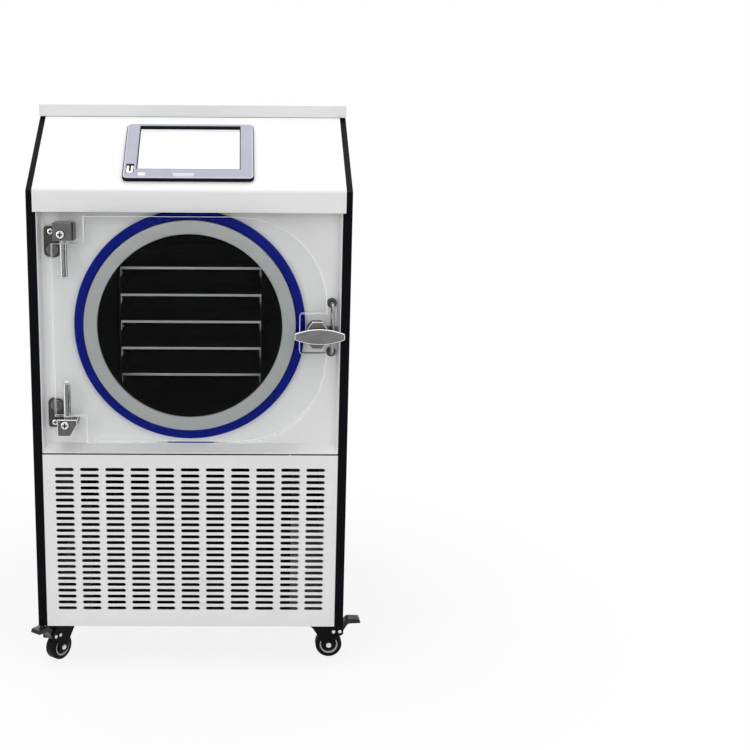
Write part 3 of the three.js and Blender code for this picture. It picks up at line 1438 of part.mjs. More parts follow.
function touchScreen() {
  const screen = new THREE.Group();
  const onFace = new THREE.Group();
  onFace.position.set(BEZEL_MIDDLE_X, BEZEL_ABOVE_LIP, 0);
  onFace.add(
    piece('screen_bezel', screenBezel(), bezelPlastic),
    piece('screen_display', screenDisplay(), litGlass),
  );
  screen.add(onFace);
  screen.position.copy(slopeFoot());
  screen.rotation.x = SLOPE_ANGLE;
  return screen;
}

// ---------------------------------------------------------------- casters, about the swivel axis

function crownZ() {
  return BASE_Z - FIT - CASTER_PLATE_THICKNESS - RACEWAY_HEIGHT;
}

function forkInner() {
  return WHEEL_WIDTH / 2 + FORK_GAP;
}

function casterPlate() {
  const top = BASE_Z - FIT;
  const half = CASTER_PLATE / 2;
  return join(
    block([-half, half], [-half, half], [top - CASTER_PLATE_THICKNESS, top]),
    rod('z', RACEWAY_RADIUS, crownZ(), top - 1, 16),
  );
}

/** Fork with its crown, the axle, and on a braked caster the pedal's pin between two ears. */
function casterFork(braked) {
  const crown = crownZ() - FIT;
  const inner = forkInner();
  const outer = inner + FORK_SHEET;
  const nose = braked ? PEDAL_PIVOT_X + PEDAL_HUB_RADIUS : TRAIL + AXLE_RADIUS * 4;
  const cheek = outline([
    [-24, crown],
    [-24, crown - 4],
    [-10, crown - 12],
    [TRAIL - 14, WHEEL_RADIUS + 10],
    [TRAIL - 9, WHEEL_RADIUS - 9, 8],
    [TRAIL + 9, WHEEL_RADIUS - 9, 8],
    [TRAIL + 12, WHEEL_RADIUS + 14],
    [nose, PEDAL_PIVOT_Z - PEDAL_HUB_RADIUS],
    [nose, PEDAL_PIVOT_Z + PEDAL_HUB_RADIUS],
    [TRAIL + 12, crown],
  ]);
  const axle = (radius, x, z, reach) => rod('y', radius, -reach, reach, 10).translate(x, 0, z);
  const parts = [
    plate(cheek, inner, outer),
    plate(cheek, -outer, -inner),
    block([-24, TRAIL + 12], [-outer, outer], [crown - FORK_SHEET, crown]),
    axle(AXLE_RADIUS, TRAIL, WHEEL_RADIUS, outer + 1),
    rod('y', BOLT_HEAD_RADIUS, outer - 1, outer + BOLT_HEAD, 8).translate(TRAIL, 0, WHEEL_RADIUS),
    rod('y', BOLT_HEAD_RADIUS, -outer - BOLT_HEAD, 1 - outer, 8).translate(TRAIL, 0, WHEEL_RADIUS),
  ];
  if (braked) parts.push(axle(PEDAL_PIN_RADIUS, PEDAL_PIVOT_X, PEDAL_PIVOT_Z, outer + 1));
  return join(...parts);
}

/** Wheel about its axle. One flat side of its tread faces straight down. */
function casterWheel() {
  const half = WHEEL_WIDTH / 2;
  const bore = AXLE_RADIUS + FIT;
  return turned(
    [
      [bore, -half],
      [WHEEL_RIM - WHEEL_CHAMFER, -half],
      [WHEEL_RIM, -half + WHEEL_CHAMFER],
      [WHEEL_RIM, half - WHEEL_CHAMFER],
      [WHEEL_RIM - WHEEL_CHAMFER, half],
      [bore, half],
    ],
    WHEEL_SEGMENTS,
  );
}

/** Brake pedal about its pivot, brake off: hub, shoe towards the wheel and a foot pad. */
function brakePedal() {
  const half = forkInner() - FIT;
  const padTop = BASE_Z - PEDAL_TOP_GAP - PEDAL_PIVOT_Z;
  const tip = PEDAL_REACH - PEDAL_PIVOT_X;
  const toAxle = new THREE.Vector2(TRAIL - PEDAL_PIVOT_X, WHEEL_RADIUS - PEDAL_PIVOT_Z);
  const corner = toAxle.length() - WHEEL_RIM - FIT;
  const reach = Math.sqrt(corner ** 2 - (SHOE_THICKNESS / 2) ** 2);
  const lever = plate(
    outline([
      [2, -PEDAL_HUB_RADIUS + 1],
      [PEDAL_HUB_RADIUS, 0],
      [14, padTop - 9],
      [tip, padTop - 8],
      [tip - 4, padTop - 1],
      [12, padTop],
      [-3, PEDAL_HUB_RADIUS - 1],
    ]),
    -half,
    half,
  );
  const shoe = block([0, reach], [-half, half], [-SHOE_THICKNESS / 2, SHOE_THICKNESS / 2]);
  shoe.rotateY(-toAxle.angle() - THREE.MathUtils.degToRad(PEDAL_TRAVEL));
  return cut(
    join(lever, shoe, rod('y', PEDAL_HUB_RADIUS, -half, half, 12)),
    rod('y', PEDAL_PIN_RADIUS + FIT, -half - 1, half + 1, 10),
  );
}

/** One caster. yaw is the direction in which the wheel trails, in degrees from +X. */
function caster(name, x, y, yaw, braked) {
  const swivel = new THREE.Group();
  swivel.rotation.z = THREE.MathUtils.degToRad(yaw);
  const wheel = piece(`caster_wheel_${name}`, casterWheel(), tyreRubber);
  wheel.position.set(TRAIL, 0, WHEEL_RADIUS);
  swivel.add(piece(`caster_fork_${name}`, casterFork(braked), blackSteel), wheel);
  if (braked) {
    const pedal = piece(`brake_pedal_${name}`, brakePedal(), blackPlastic);
    pedal.position.set(PEDAL_PIVOT_X, 0, PEDAL_PIVOT_Z);
    swivel.add(pedal);
  }
  return placed(x, y, 0, piece(`caster_plate_${name}`, casterPlate(), zincSteel), swivel);
}

// ---------------------------------------------------------------- inside the cabinet

/** Deck across the cabinet with two saddles under the chamber. */
function chamberCradle() {
  const half = INNER_X - FIT;
  const saddle = (y) =>
    block(
      [-SADDLE_WIDTH / 2, SADDLE_WIDTH / 2],
      [y, y + SADDLE_THICKNESS],
      [DECK_Z - 1, DECK_Z + SADDLE_HEIGHT],
    );
  const rear = DEPTH - DECK_REAR_GAP;
  const deck = block([-half, half], [DECK_FRONT, rear], [DECK_Z - DECK_SHEET, DECK_Z]);
  const bore = rod('y', SHELL_RADIUS + FIT, DECK_FRONT, rear, ROUND_SEGMENTS).translate(0, 0, CHAMBER_Z);
  const lineHole = rod('z', 2 * COIL_TUBE, DECK_Z - 2 * DECK_SHEET, DECK_Z + DECK_SHEET);
  return cut(
    join(deck, saddle(SADDLE_FRONT_Y), saddle(SADDLE_REAR_Y)),
    bore,
    lineHole.translate(-COIL_RADIUS, COIL_END_Y, 0),
  );
}

class Helix extends THREE.Curve {
  getPoint(t, target = new THREE.Vector3()) {
    const angle = Math.PI + 2 * Math.PI * COIL_TURNS * (t - 1);
    return target.set(
      COIL_RADIUS * Math.cos(angle),
      COIL_START_Y + (COIL_END_Y - COIL_START_Y) * t,
      COIL_RADIUS * Math.sin(angle),
    );
  }
}

function evaporatorCoil() {
  return tube(new Helix(), COIL_TUBE, COIL_TURNS * COIL_SEGMENTS);
}

function insulationJacket() {
  return turned(
    [
      [JACKET_BORE, JACKET_FRONT_Y],
      [JACKET_RADIUS, JACKET_FRONT_Y],
      [JACKET_RADIUS, JACKET_REAR_Y],
      [JACKET_BORE, JACKET_REAR_Y],
    ],
    JACKET_SEGMENTS,
  );
}

function compressorTop() {
  return PAN_FLOOR_Z + FIT + COMPRESSOR_FOOT_HEIGHT + COMPRESSOR_HEIGHT;
}

/** Hermetic compressor: a welded pot on a foot plate with four rubber feet, and a stub on its lid. */
function compressor() {
  const foot = PAN_FLOOR_Z + FIT;
  const seat = foot + COMPRESSOR_FOOT_HEIGHT;
  const r = COMPRESSOR_RADIUS;
  const pot = turned(
    [
      [0, seat],
      [r * 0.86, seat],
      [r, seat + COMPRESSOR_BASE],
      [r, seat + COMPRESSOR_HEIGHT - COMPRESSOR_LID],
      [r * 0.8, seat + COMPRESSOR_HEIGHT - COMPRESSOR_LID * 0.3],
      [r * 0.4, seat + COMPRESSOR_HEIGHT],
      [0, seat + COMPRESSOR_HEIGHT],
    ],
    24,
  ).rotateX(Math.PI / 2);
  const terminalBottom = seat + (COMPRESSOR_HEIGHT - TERMINAL_BOX_HEIGHT) / 2;
  const terminalBox = block(
    [r * 0.8, r + TERMINAL_BOX_PROUD],
    [-TERMINAL_BOX_WIDTH / 2, TERMINAL_BOX_WIDTH / 2],
    [terminalBottom, terminalBottom + TERMINAL_BOX_HEIGHT],
  );
  const feet = [-1, 1].flatMap((sx) =>
    [-1, 1].map((sy) => rod('z', 12, foot, seat - 1, 10).translate(sx * r, sy * r * 0.75, 0)),
  );
  return join(
    pot,
    block([-r - 16, r + 16], [-r * 0.9, r * 0.9], [seat - 3, seat + 1]),
    terminalBox,
    rod('z', COIL_TUBE + 1, seat + COMPRESSOR_HEIGHT - 2, compressorTop() + COMPRESSOR_STUB, 10),
    ...feet,
  );
}

/** Suction line from the end of the coil, down through the deck to the compressor's stub. */
function suctionLine() {
  const top = compressorTop() + COMPRESSOR_STUB + FIT;
  const corner = (top + DECK_Z) / 2;
  const path = roundedPath(
    [
      new THREE.Vector3(-COIL_RADIUS, COIL_END_Y, CHAMBER_Z - 2 * FIT),
      new THREE.Vector3(-COIL_RADIUS, COIL_END_Y, corner),
      new THREE.Vector3(COMPRESSOR_X, COMPRESSOR_Y, corner),
      new THREE.Vector3(COMPRESSOR_X, COMPRESSOR_Y, top),
    ],
    14,
  );
  return tube(path, COIL_TUBE, 22);
}

function condenserMiddle() {
  return PAN_FLOOR_Z + FIT + CONDENSER_HEIGHT / 2;
}

/** Finned condenser between two end plates. */
function condenserRadiator() {
  const z0 = PAN_FLOOR_Z + FIT;
  const z1 = z0 + CONDENSER_HEIGHT;
  const half = CONDENSER_WIDTH / 2;
  const y = [CONDENSER_Y, CONDENSER_Y + CONDENSER_DEPTH];
  return join(
    block([-half, half], [y[0] + 5, y[1] - 5], [z0 + 8, z1 - 8]),
    block([-half - 3, -half + 1], y, [z0, z1]),
    block([half - 1, half + 3], y, [z0, z1]),
  );
}

/** Shroud behind the condenser, with its collar and the motor on three arms. */
function fanShroud() {
  const front = CONDENSER_Y + CONDENSER_DEPTH + FIT;
  const back = front + SHROUD_DEPTH;
  const middle = condenserMiddle();
  const bore = FAN_RADIUS + FAN_TIP_GAP;
  const face = block(
    [-CONDENSER_WIDTH / 2, CONDENSER_WIDTH / 2],
    [front, front + SHROUD_SHEET],
    [PAN_FLOOR_Z + FIT, PAN_FLOOR_Z + FIT + CONDENSER_HEIGHT],
  );
  const atMiddle = (geometry) => geometry.translate(0, 0, middle);
  const holes = atMiddle(rod('y', bore, front - 1, back + 1, 32));
  const arms = [0, 1, 2].map((k) =>
    atMiddle(
      block(
        [-FAN_ARM_WIDTH / 2, FAN_ARM_WIDTH / 2],
        [back - FAN_ARM, back],
        [FAN_HUB_RADIUS - FAN_ARM_WIDTH / 2, bore + 2],
      ).rotateY((k * 2 * Math.PI) / 3),
    ),
  );
  return join(
    cut(join(face, atMiddle(rod('y', bore + SHROUD_SHEET, front, back, 32))), holes),
    ...arms,
    atMiddle(rod('y', FAN_HUB_RADIUS, back - FAN_ARM, back + FAN_MOTOR_LENGTH, 16)),
    atMiddle(rod('y', FAN_SHAFT, back - 20, back - 2, 10)),
  );
}

/** Five-bladed rotor about the fan's axis, on the motor's shaft. */
function fanRotor() {
  const y1 = CONDENSER_Y + CONDENSER_DEPTH + FIT + SHROUD_DEPTH - FAN_ARM - SHEET;
  const y0 = y1 - FAN_HUB_LENGTH;
  const middle = (y0 + y1) / 2;
  const blades = Array.from({ length: FAN_BLADES }, (_, k) =>
    block([-FAN_CHORD / 2, FAN_CHORD / 2], [-1, 1], [FAN_HUB_RADIUS - 4, FAN_RADIUS])
      .rotateZ(THREE.MathUtils.degToRad(FAN_PITCH))
      .rotateY((k * 2 * Math.PI) / FAN_BLADES)
      .translate(0, middle, 0),
  );
  return cut(
    join(rod('y', FAN_HUB_RADIUS, y0, y1, 20), ...blades),
    rod('y', FAN_SHAFT + FIT, y0 - 1, y1 + 1, 10),
  );
}

/** Box of control electrics on the inside of the rear panel, with a cable hole in its floor. */
function controlBox() {
  const y1 = DEPTH - LAND_STEP;
  const y0 = y1 - CONTROL_BOX_DEPTH;
  const z1 = TOP_Z - CONTROL_BOX_DROP;
  const z0 = z1 - CONTROL_BOX_HEIGHT;
  const x = [CONTROL_BOX_X - CONTROL_BOX_WIDTH / 2, CONTROL_BOX_X + CONTROL_BOX_WIDTH / 2];
  const cableHole = rod('z', CABLE_HOLE_RADIUS, z0 - SHEET, z0 + 2 * SHEET);
  return cut(
    block(x, [y0, y1], [z0, z1]),
    block([x[0] + SHEET, x[1] - SHEET], [y0 + SHEET, y1 - SHEET], [z0 + SHEET, z1 - SHEET]),
    cableHole.translate(CONTROL_BOX_X, y0 + CABLE_HOLE_INSET, 0),
  );
}

// ---------------------------------------------------------------- assembly

const machine = new THREE.Group();

machine.add(
  piece('base_pan', basePan(), zincSteel),
  piece('left_side_panel', sidePanel(-1), darkPaint),
  piece('right_side_panel', sidePanel(1), darkPaint),
  piece('top_cover', topCover(), whitePaint),
  piece('control_hood', controlHood(), whitePaint),
  piece('front_fascia', frontFascia(), whitePaint),
  piece('front_grille', frontGrille(), whitePaint),
  piece('rear_upper_panel', rearUpperPanel(), whitePaint),
  piece('rear_cover', rearCover(), whitePaint),
  touchScreen(),
);

machine.add(
  placed(
    0,
    0,
    CHAMBER_Z,
    piece('chamber_shell', chamberShell(), brushedSteel),
    piece('door_gasket', doorGasket(), gasketRubber),
    piece('chamber_trim_ring', trimRing(), trimBlue),
    piece('rack_left_plate', rackPlate(-1), shelfAluminium),
    piece('rack_right_plate', rackPlate(1), shelfAluminium),
    piece('vacuum_port', vacuumPort(), polishedSteel),
    piece('evaporator_coil', evaporatorCoil(), copper),
    piece('insulation_jacket', insulationJacket(), foam),
  ),
);

for (let k = 0; k < SHELF_COUNT; k++) {
  const height = CHAMBER_Z + ((SHELF_COUNT - 1) / 2 - k) * shelfPitch();
  machine.add(placed(0, 0, height, piece(`shelf_${k + 1}`, shelf(), shelfAluminium)));
}

machine.add(
  piece('door_panel', doorPanel(), clearAcrylic),
  hinge(1, 'top'),
  hinge(-1, 'bottom'),
  piece('latch_staple', latchStaple(), brushedSteel),
  placed(
    LATCH_X,
    0,
    LATCH_Z,
    piece('latch_handle', latchHandle(), brushedSteel),
    piece('latch_block', latchBlock(), brushedSteel),
    piece('latch_tongue', latchTongue(), brushedSteel),
  ),
);

const rocker = piece('switch_rocker', switchRocker(), redPlastic);
rocker.position.y = FIT + SWITCH_FLANGE - ROCKER_AXIS_DEPTH;
rocker.rotation.x = THREE.MathUtils.degToRad(-ROCKER_TILT);
machine.add(
  placed(ELECTRICS_X, DEPTH, SWITCH_Z, piece('switch_bezel', switchBezel(), blackPlastic), rocker),
  placed(
    ELECTRICS_X,
    DEPTH,
    INLET_Z,
    piece('power_inlet', powerInlet(), blackPlastic),
    piece('fuse_drawer', fuseDrawer(), blackPlastic),
  ),
  placed(ELECTRICS_X, DEPTH, OUTLET_Z, piece('power_outlet', powerOutlet(), blackPlastic)),
  placed(VENT_X, DEPTH, VENT_Z, piece('vent_fitting', ventFitting(), polishedSteel)),
);

machine.add(
  caster('front_left', -CASTER_X, CASTER_INSET, -127, true),
  caster('front_right', CASTER_X, CASTER_INSET, 0, true),
  caster('rear_left', -CASTER_X, DEPTH - CASTER_INSET, 90, false),
  caster('rear_right', CASTER_X, DEPTH - CASTER_INSET, 0, false),
);

machine.add(
  piece('chamber_cradle', chamberCradle(), zincSteel),
  piece('suction_line', suctionLine(), copper),
  placed(COMPRESSOR_X, COMPRESSOR_Y, 0, piece('compressor', compressor(), blackSteel)),
  piece('condenser_radiator', condenserRadiator(), finPack),
  piece('fan_shroud', fanShroud(), blackPlastic),
  placed(0, 0, condenserMiddle(), piece('fan_rotor', fanRotor(), blackPlastic)),
  piece('control_box', controlBox(), zincSteel),
);

const extent = new THREE.Box3().setFromObject(machine, true);
const middle = extent.getCenter(new THREE.Vector3());
machine.position.set(-middle.x, -middle.y, -extent.min.z);

export default machine;
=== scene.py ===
"""Looks of an upright laboratory freeze dryer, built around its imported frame.

Sizes are in millimetres, in the frame's axes: +Z up, the door faces -Y and +X is to the right of it.
Meshes are scaled to metres when a piece is made.
"""

from __future__ import annotations

import json
import logging
import math
from dataclasses import dataclass, field
from enum import Enum
from functools import cache
from typing import Iterable, Sequence

import bmesh
import bpy
from mathutils import Matrix, Vector
from mathutils.geometry import tessellate_polygon

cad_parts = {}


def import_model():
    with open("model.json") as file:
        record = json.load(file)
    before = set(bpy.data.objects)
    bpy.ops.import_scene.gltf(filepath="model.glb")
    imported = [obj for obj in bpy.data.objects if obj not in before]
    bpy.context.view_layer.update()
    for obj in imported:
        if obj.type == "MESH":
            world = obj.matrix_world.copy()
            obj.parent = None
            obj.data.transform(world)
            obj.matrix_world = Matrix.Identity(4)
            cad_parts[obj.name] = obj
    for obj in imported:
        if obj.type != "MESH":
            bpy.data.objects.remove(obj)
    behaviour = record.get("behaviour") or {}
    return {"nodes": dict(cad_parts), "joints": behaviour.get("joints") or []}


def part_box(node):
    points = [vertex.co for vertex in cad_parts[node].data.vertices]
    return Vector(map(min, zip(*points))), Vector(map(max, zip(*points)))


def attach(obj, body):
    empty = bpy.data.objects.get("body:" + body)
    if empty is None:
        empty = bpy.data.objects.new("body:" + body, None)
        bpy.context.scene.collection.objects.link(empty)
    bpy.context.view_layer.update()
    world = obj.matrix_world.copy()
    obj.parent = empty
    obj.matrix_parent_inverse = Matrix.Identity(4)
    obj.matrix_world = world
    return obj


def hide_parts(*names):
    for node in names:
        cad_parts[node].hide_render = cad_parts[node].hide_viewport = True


LOG = logging.getLogger("freeze_dryer")
MM = 0.001
ROUND_STEPS = 96  # faces round a large turned piece
SMALL_STEPS = 32  # faces round a small one
SHARP_ANGLE = math.radians(32)  # sharper edges than this are rounded off
FLAT_ANGLE = math.radians(0.5)  # faces that turn less than this count as one flat face
WELD_GAP = 0.01 * MM  # vertices closer than this are one
HAIRLINE = 0.05  # gap between closed surfaces of one piece that lie on each other
FIT = 0.3  # room left round or beside a fitted piece
RIGHT, BACK, UP = Vector((1, 0, 0)), Vector((0, 1, 0)), Vector((0, 0, 1))

Point = tuple[float, float]
Three = tuple[float, float, float]
Four = tuple[float, float, float, float]
Colour = Three
Socket = bpy.types.NodeSocket
WHITE: Colour = (1.0, 1.0, 1.0)


# ---------------------------------------------------------------- outlines


def arc(centre: Point, radius: float, start: float, end: float, steps: int) -> list[Point]:
    """Points along an arc.

    Args:
        centre: Middle of the arc.
        radius: Its radius.
        start: Angle of the first point, in degrees from u.
        end: Angle of the last point.
        steps: Straight stretches along it.

    Returns:
        The steps + 1 points of the arc.
    """
    angles = [math.radians(start + (end - start) * k / steps) for k in range(steps + 1)]
    return [(centre[0] + radius * math.cos(a), centre[1] + radius * math.sin(a)) for a in angles]


def circle(radius: float, steps: int = SMALL_STEPS, centre: Point = (0.0, 0.0)) -> list[Point]:
    """Closed round outline, without its last point twice."""
    return arc(centre, radius, 0, 360, steps)[:-1]


def box_outline(width: float, height: float, centre: Point = (0.0, 0.0), radius: float = 0.0) -> list[Point]:
    """Rectangle round a middle point, with one radius at all its corners."""
    half_u, half_v = width / 2, height / 2
    corners = [(-half_u, -half_v), (half_u, -half_v), (half_u, half_v), (-half_u, half_v)]
    return rounded([(centre[0] + u, centre[1] + v, radius) for u, v in corners])


def slot_outline(length: float, height: float, centre: Point = (0.0, 0.0), steps: int = 6) -> list[Point]:
    """Level slot with round ends."""
    reach = (length - height) / 2
    right = arc((centre[0] + reach, centre[1]), height / 2, -90, 90, steps)
    return right + arc((centre[0] - reach, centre[1]), height / 2, 90, 270, steps)


def rounded(corners: Sequence[Sequence[float]], steps: int = 5) -> list[Point]:
    """Outline through corners, each given as (u, v) or as (u, v, radius).

    Args:
        corners: The corners in order.
        steps: Straight stretches round each corner that has a radius.

    Returns:
        The closed outline's points.
    """
    points: list[Point] = []
    for k, corner in enumerate(corners):
        here = Vector(corner[:2])
        radius = corner[2] if len(corner) > 2 else 0.0
        if radius <= 0:
            points.append((here.x, here.y))
            continue
        before = (Vector(corners[k - 1][:2]) - here).normalized()
        after = (Vector(corners[(k + 1) % len(corners)][:2]) - here).normalized()
        half = math.acos(max(-1.0, min(1.0, before.dot(after)))) / 2
        centre = here + (before + after).normalized() * (radius / math.sin(half))
        first = here + before * (radius / math.tan(half)) - centre
        last = here + after * (radius / math.tan(half)) - centre
        turn = math.atan2(first.x * last.y - first.y * last.x, first.dot(last))
        for step in range(steps + 1):
            angle = turn * step / steps
            u = first.x * math.cos(angle) - first.y * math.sin(angle)
            v = first.x * math.sin(angle) + first.y * math.cos(angle)
            points.append((centre.x + u, centre.y + v))
    return points


def cross_outline(reach: float, width: float) -> list[Point]:
    """Plus-shaped outline of a cross recess."""
    w = width / 2
    arm = [(reach, -w), (reach, w), (w, w)]
    turns = [(1, 0), (0, 1), (-1, 0), (0, -1)]
    return [(u * c - v * s, u * s + v * c) for c, s in turns for u, v in arm]


def hexagon(across: float) -> list[Point]:
    """Outline of a nut with a width across its flats."""
    return circle(across / math.sqrt(3), 6)


# ---------------------------------------------------------------- places


def place(origin: Vector, u: Vector, v: Vector) -> Matrix:
    """Frame at a point, with its u and v axes given and w = u x v."""
    matrix = Matrix((u, v, u.cross(v))).transposed().to_4x4()
    matrix.translation = origin
    return matrix


class Facing(Enum):
    """Where the w axis of a piece's own frame points. The value holds its u and v axes."""

    FRONT = (RIGHT, UP)
    REAR = (-RIGHT, UP)
    TOP = (RIGHT, BACK)
    RIGHT_SIDE = (BACK, UP)
    LEFT_SIDE = (-BACK, UP)

    def at(self, x: float, y: float, z: float) -> Matrix:
        """Frame that faces this way, at a point."""
        return place(Vector((x, y, z)), *self.value)


@dataclass(frozen=True)
class Box:
    """Room that a CAD node takes, in millimetres."""

    low: Vector
    high: Vector

    @staticmethod
    def of(node: str) -> Box:
        """Box of a CAD node at rest."""
        low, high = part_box(node)
        return Box(low / MM, high / MM)

    @property
    def centre(self) -> Vector:
        """Middle of the box."""
        return (self.low + self.high) / 2

    @property
    def size(self) -> Vector:
        """Its lengths along the three axes."""
        return self.high - self.low

    @property
    def front(self) -> Matrix:
        """Frame at the middle of its front face, looking out of it."""
        return Facing.FRONT.at(self.centre.x, self.low.y, self.centre.z)

    @property
    def rear(self) -> Matrix:
        """Frame at the middle of its rear face, looking out of it."""
        return Facing.REAR.at(self.centre.x, self.high.y, self.centre.z)


@dataclass
class Frame:
    """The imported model: its node objects and its joints."""

    nodes: dict[str, bpy.types.Object]
    joints: dict[str, dict]

    @staticmethod
    def load() -> Frame:
        """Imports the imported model."""
        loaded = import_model()
        return Frame(loaded["nodes"], {joint["name"]: joint for joint in loaded["joints"]})

    def joint_place(self, name: str) -> Vector:
        """A joint's point, in millimetres."""
        return Vector(self.joints[name]["pos_m"]) / MM

    def facet(self, node: str, direction: Vector) -> tuple[Vector, Vector]:
        """Finds the large flat face of a CAD node that looks most nearly along a direction.

        Args:
            node: Name of the CAD node.
            direction: Where the face looks.

        Returns:
            The face's middle, in millimetres, and its normal.
        """
        sums: dict[tuple[float, ...], list] = {}
        for polygon in self.nodes[node].data.polygons:
            key = tuple(round(c, 2) for c in polygon.normal)
            entry = sums.setdefault(key, [0.0, Vector((0, 0, 0)), polygon.normal.copy()])
            entry[0] += polygon.area
            entry[1] += polygon.center * polygon.area
        wanted, aim = direction.normalized(), 40
        area, moment, normal = max(sums.values(), key=lambda e: e[0] * max(0.0, e[2].dot(wanted)) ** aim)
        return moment / area / MM, normal

    def dress(
        self, node: str, finish: Finish, edge: Edge, segments: int = 2, rim: Finish | None = None
    ) -> None:
        """Gives a CAD node its finish and soft edges.

        Args:
            node: Name of the CAD node.
            finish: Finish of its whole surface.
            edge: How far its edges are rounded off.
            segments: Faces across each rounded edge.
            rim: Finish of the rounded edges, where they have one of their own.
        """
        node_object = self.nodes[node]
        node_object.data.materials.clear()
        for each in [finish, rim] if rim else [finish]:
            node_object.data.materials.append(material_of(each))
        weld = node_object.modifiers.new("weld", "WELD")
        weld.merge_threshold = WELD_GAP
        flat = node_object.modifiers.new("flat_faces", "DECIMATE")
        flat.decimate_type = "DISSOLVE"
        flat.angle_limit = FLAT_ANGLE
        soften(node_object, edge, segments, 1 if rim else -1)
        LOG.info("dressed %s in %s", node, finish.name)


class Edge(Enum):
    """Radius of a piece's rounded edges, in millimetres."""

    NONE = 0.0
    FINE = 0.2
    SHEET = 0.5
    FOLDED = 1.0


def soften(piece: bpy.types.Object, edge: Edge, segments: int = 2, rim: int = -1) -> None:
    """Rounds a piece's edges and shades it smoothly.

    Args:
        piece: The mesh object.
        edge: Radius of the rounding.
        segments: Faces across each rounded edge.
        rim: Material slot of the rounded edges, or -1 for that of the faces beside them.
    """
    piece.data.shade_smooth()
    if edge is Edge.NONE:
        piece.data.set_sharp_from_angle(angle=SHARP_ANGLE)
        return
    bevel = piece.modifiers.new("bevel", "BEVEL")
    bevel.width = edge.value * MM
    bevel.segments = segments
    bevel.limit_method = "ANGLE"
    bevel.angle_limit = SHARP_ANGLE
    bevel.miter_outer = "MITER_ARC"
    bevel.material = rim
    normals = piece.modifiers.new("normals", "WEIGHTED_NORMAL")
    normals.keep_sharp = True


# ---------------------------------------------------------------- finishes


class NodeTree:
    """Shader nodes of a material or of the world."""

    def __init__(self, tree: bpy.types.NodeTree) -> None:
        """Works on a tree of Blender's."""
        self.tree = tree

    def add(self, kind: str, **inputs: object) -> bpy.types.Node:
        """Adds a node.

        Args:
            kind: Node type, without its ShaderNode prefix.
            inputs: Values or sockets for its inputs, with _ for a space in a name.

        Returns:
            The node.
        """
        node = self.tree.nodes.new("ShaderNode" + kind)
        for name, value in inputs.items():
            self.feed(node.inputs[name.replace("_", " ")], value)
        return node

    def feed(self, socket: Socket, value: object) -> None:
        """Links a socket to an input, or sets the input's own value."""
        if isinstance(value, Socket):
            self.tree.links.new(value, socket)
        else:
            socket.default_value = value

    def calculate(self, operation: str, *values: Socket) -> Socket:
        """Result of a sum on two values."""
        node = self.tree.nodes.new("ShaderNodeMath")
        node.operation = operation
        for socket, value in zip(node.inputs, values):
            self.feed(socket, value)
        return node.outputs[0]

    def seen(self) -> Socket:
        """Is 1 for camera, glossy and transmission rays, and 0 for others."""
        rays = self.add("LightPath").outputs
        value = rays["Is Camera Ray"]
        for name in ("Is Glossy Ray", "Is Transmission Ray"):
            value = self.calculate("MAXIMUM", value, rays[name])
        return value

    def blend(
        self, factor: Socket, first: bpy.types.Node, second: bpy.types.Node, output: bpy.types.Node
    ) -> None:
        """Shows a mix of two shaders, by a value from 0 to 1.

        Args:
            factor: The value.
            first: Shader at 0.
            second: Shader at 1.
            output: The tree's output.
        """
        mix = self.add("MixShader", Fac=factor)
        for socket, shader in zip(mix.inputs[1:], (first, second)):
            self.feed(socket, shader.outputs[0])
        self.feed(output.inputs["Surface"], mix.outputs[0])


class ShaderGraph(NodeTree):
    """Node tree of one material, with the joins that the finishes share."""

    def __init__(self, name: str) -> None:
        """Starts the material with its one Principled shader."""
        self.material = bpy.data.materials.new(name)
        self.material.use_nodes = True
        super().__init__(self.material.node_tree)
        self.surface = next(n for n in self.tree.nodes if n.type == "BSDF_PRINCIPLED")
        self.output = next(n for n in self.tree.nodes if n.type == "OUTPUT_MATERIAL")
        self.coordinates = self.add("TexCoord").outputs["Object"]

    def set(self, **inputs: object) -> None:
        """Sets or links inputs of the surface's shader, with _ for a space in a name."""
        for name, value in inputs.items():
            self.feed(self.surface.inputs[name.replace("_", " ")], value)

    def noise(
        self, size: float, detail: float = 2.0, stretch: Three = (1, 1, 1), twist: float = 0.0
    ) -> Socket:
        """Cloudy value from 0 to 1.

        Args:
            size: Width of its patches, in millimetres.
            detail: How many finer layers lie on it.
            stretch: How many times longer the patches are along each axis.
            twist: How far they are distorted.

        Returns:
            The value's socket.
        """
        scale = tuple(1 / s for s in stretch)
        mapped = self.add("Mapping", Vector=self.coordinates, Scale=scale)
        noise = self.add(
            "TexNoise", Vector=mapped.outputs[0], Scale=1 / (size * MM), Detail=detail, Distortion=twist
        )
        return noise.outputs[0]

    def spread(self, value: Socket, low: float, high: float) -> Socket:
        """The middle part of a 0 to 1 value, mapped to a range."""
        node = self.add("MapRange", Value=value, From_Min=0.3, From_Max=0.7, To_Min=low, To_Max=high)
        return node.outputs[0]

    def tint(self, value: Socket, first: Colour | Socket, second: Colour) -> Socket:
        """Colour between two, by a value from 0 to 1."""
        mix = self.tree.nodes.new("ShaderNodeMix")
        mix.data_type = "RGBA"
        self.feed(mix.inputs["Factor"], value)
        for name, colour in (("A", first), ("B", second)):
            self.feed(mix.inputs[name], (*colour, 1.0) if isinstance(colour, tuple) else colour)
        return mix.outputs["Result"]

    def bump(self, height: Socket, depth: float) -> None:
        """Gives the surface relief from a 0 to 1 height, of a depth in millimetres."""
        last = self.surface.inputs["Normal"]
        node = self.add("Bump", Height=height, Distance=depth * MM, Strength=1.0)
        if last.is_linked:
            self.feed(node.inputs["Normal"], last.links[0].from_socket)
        self.feed(last, node.outputs[0])


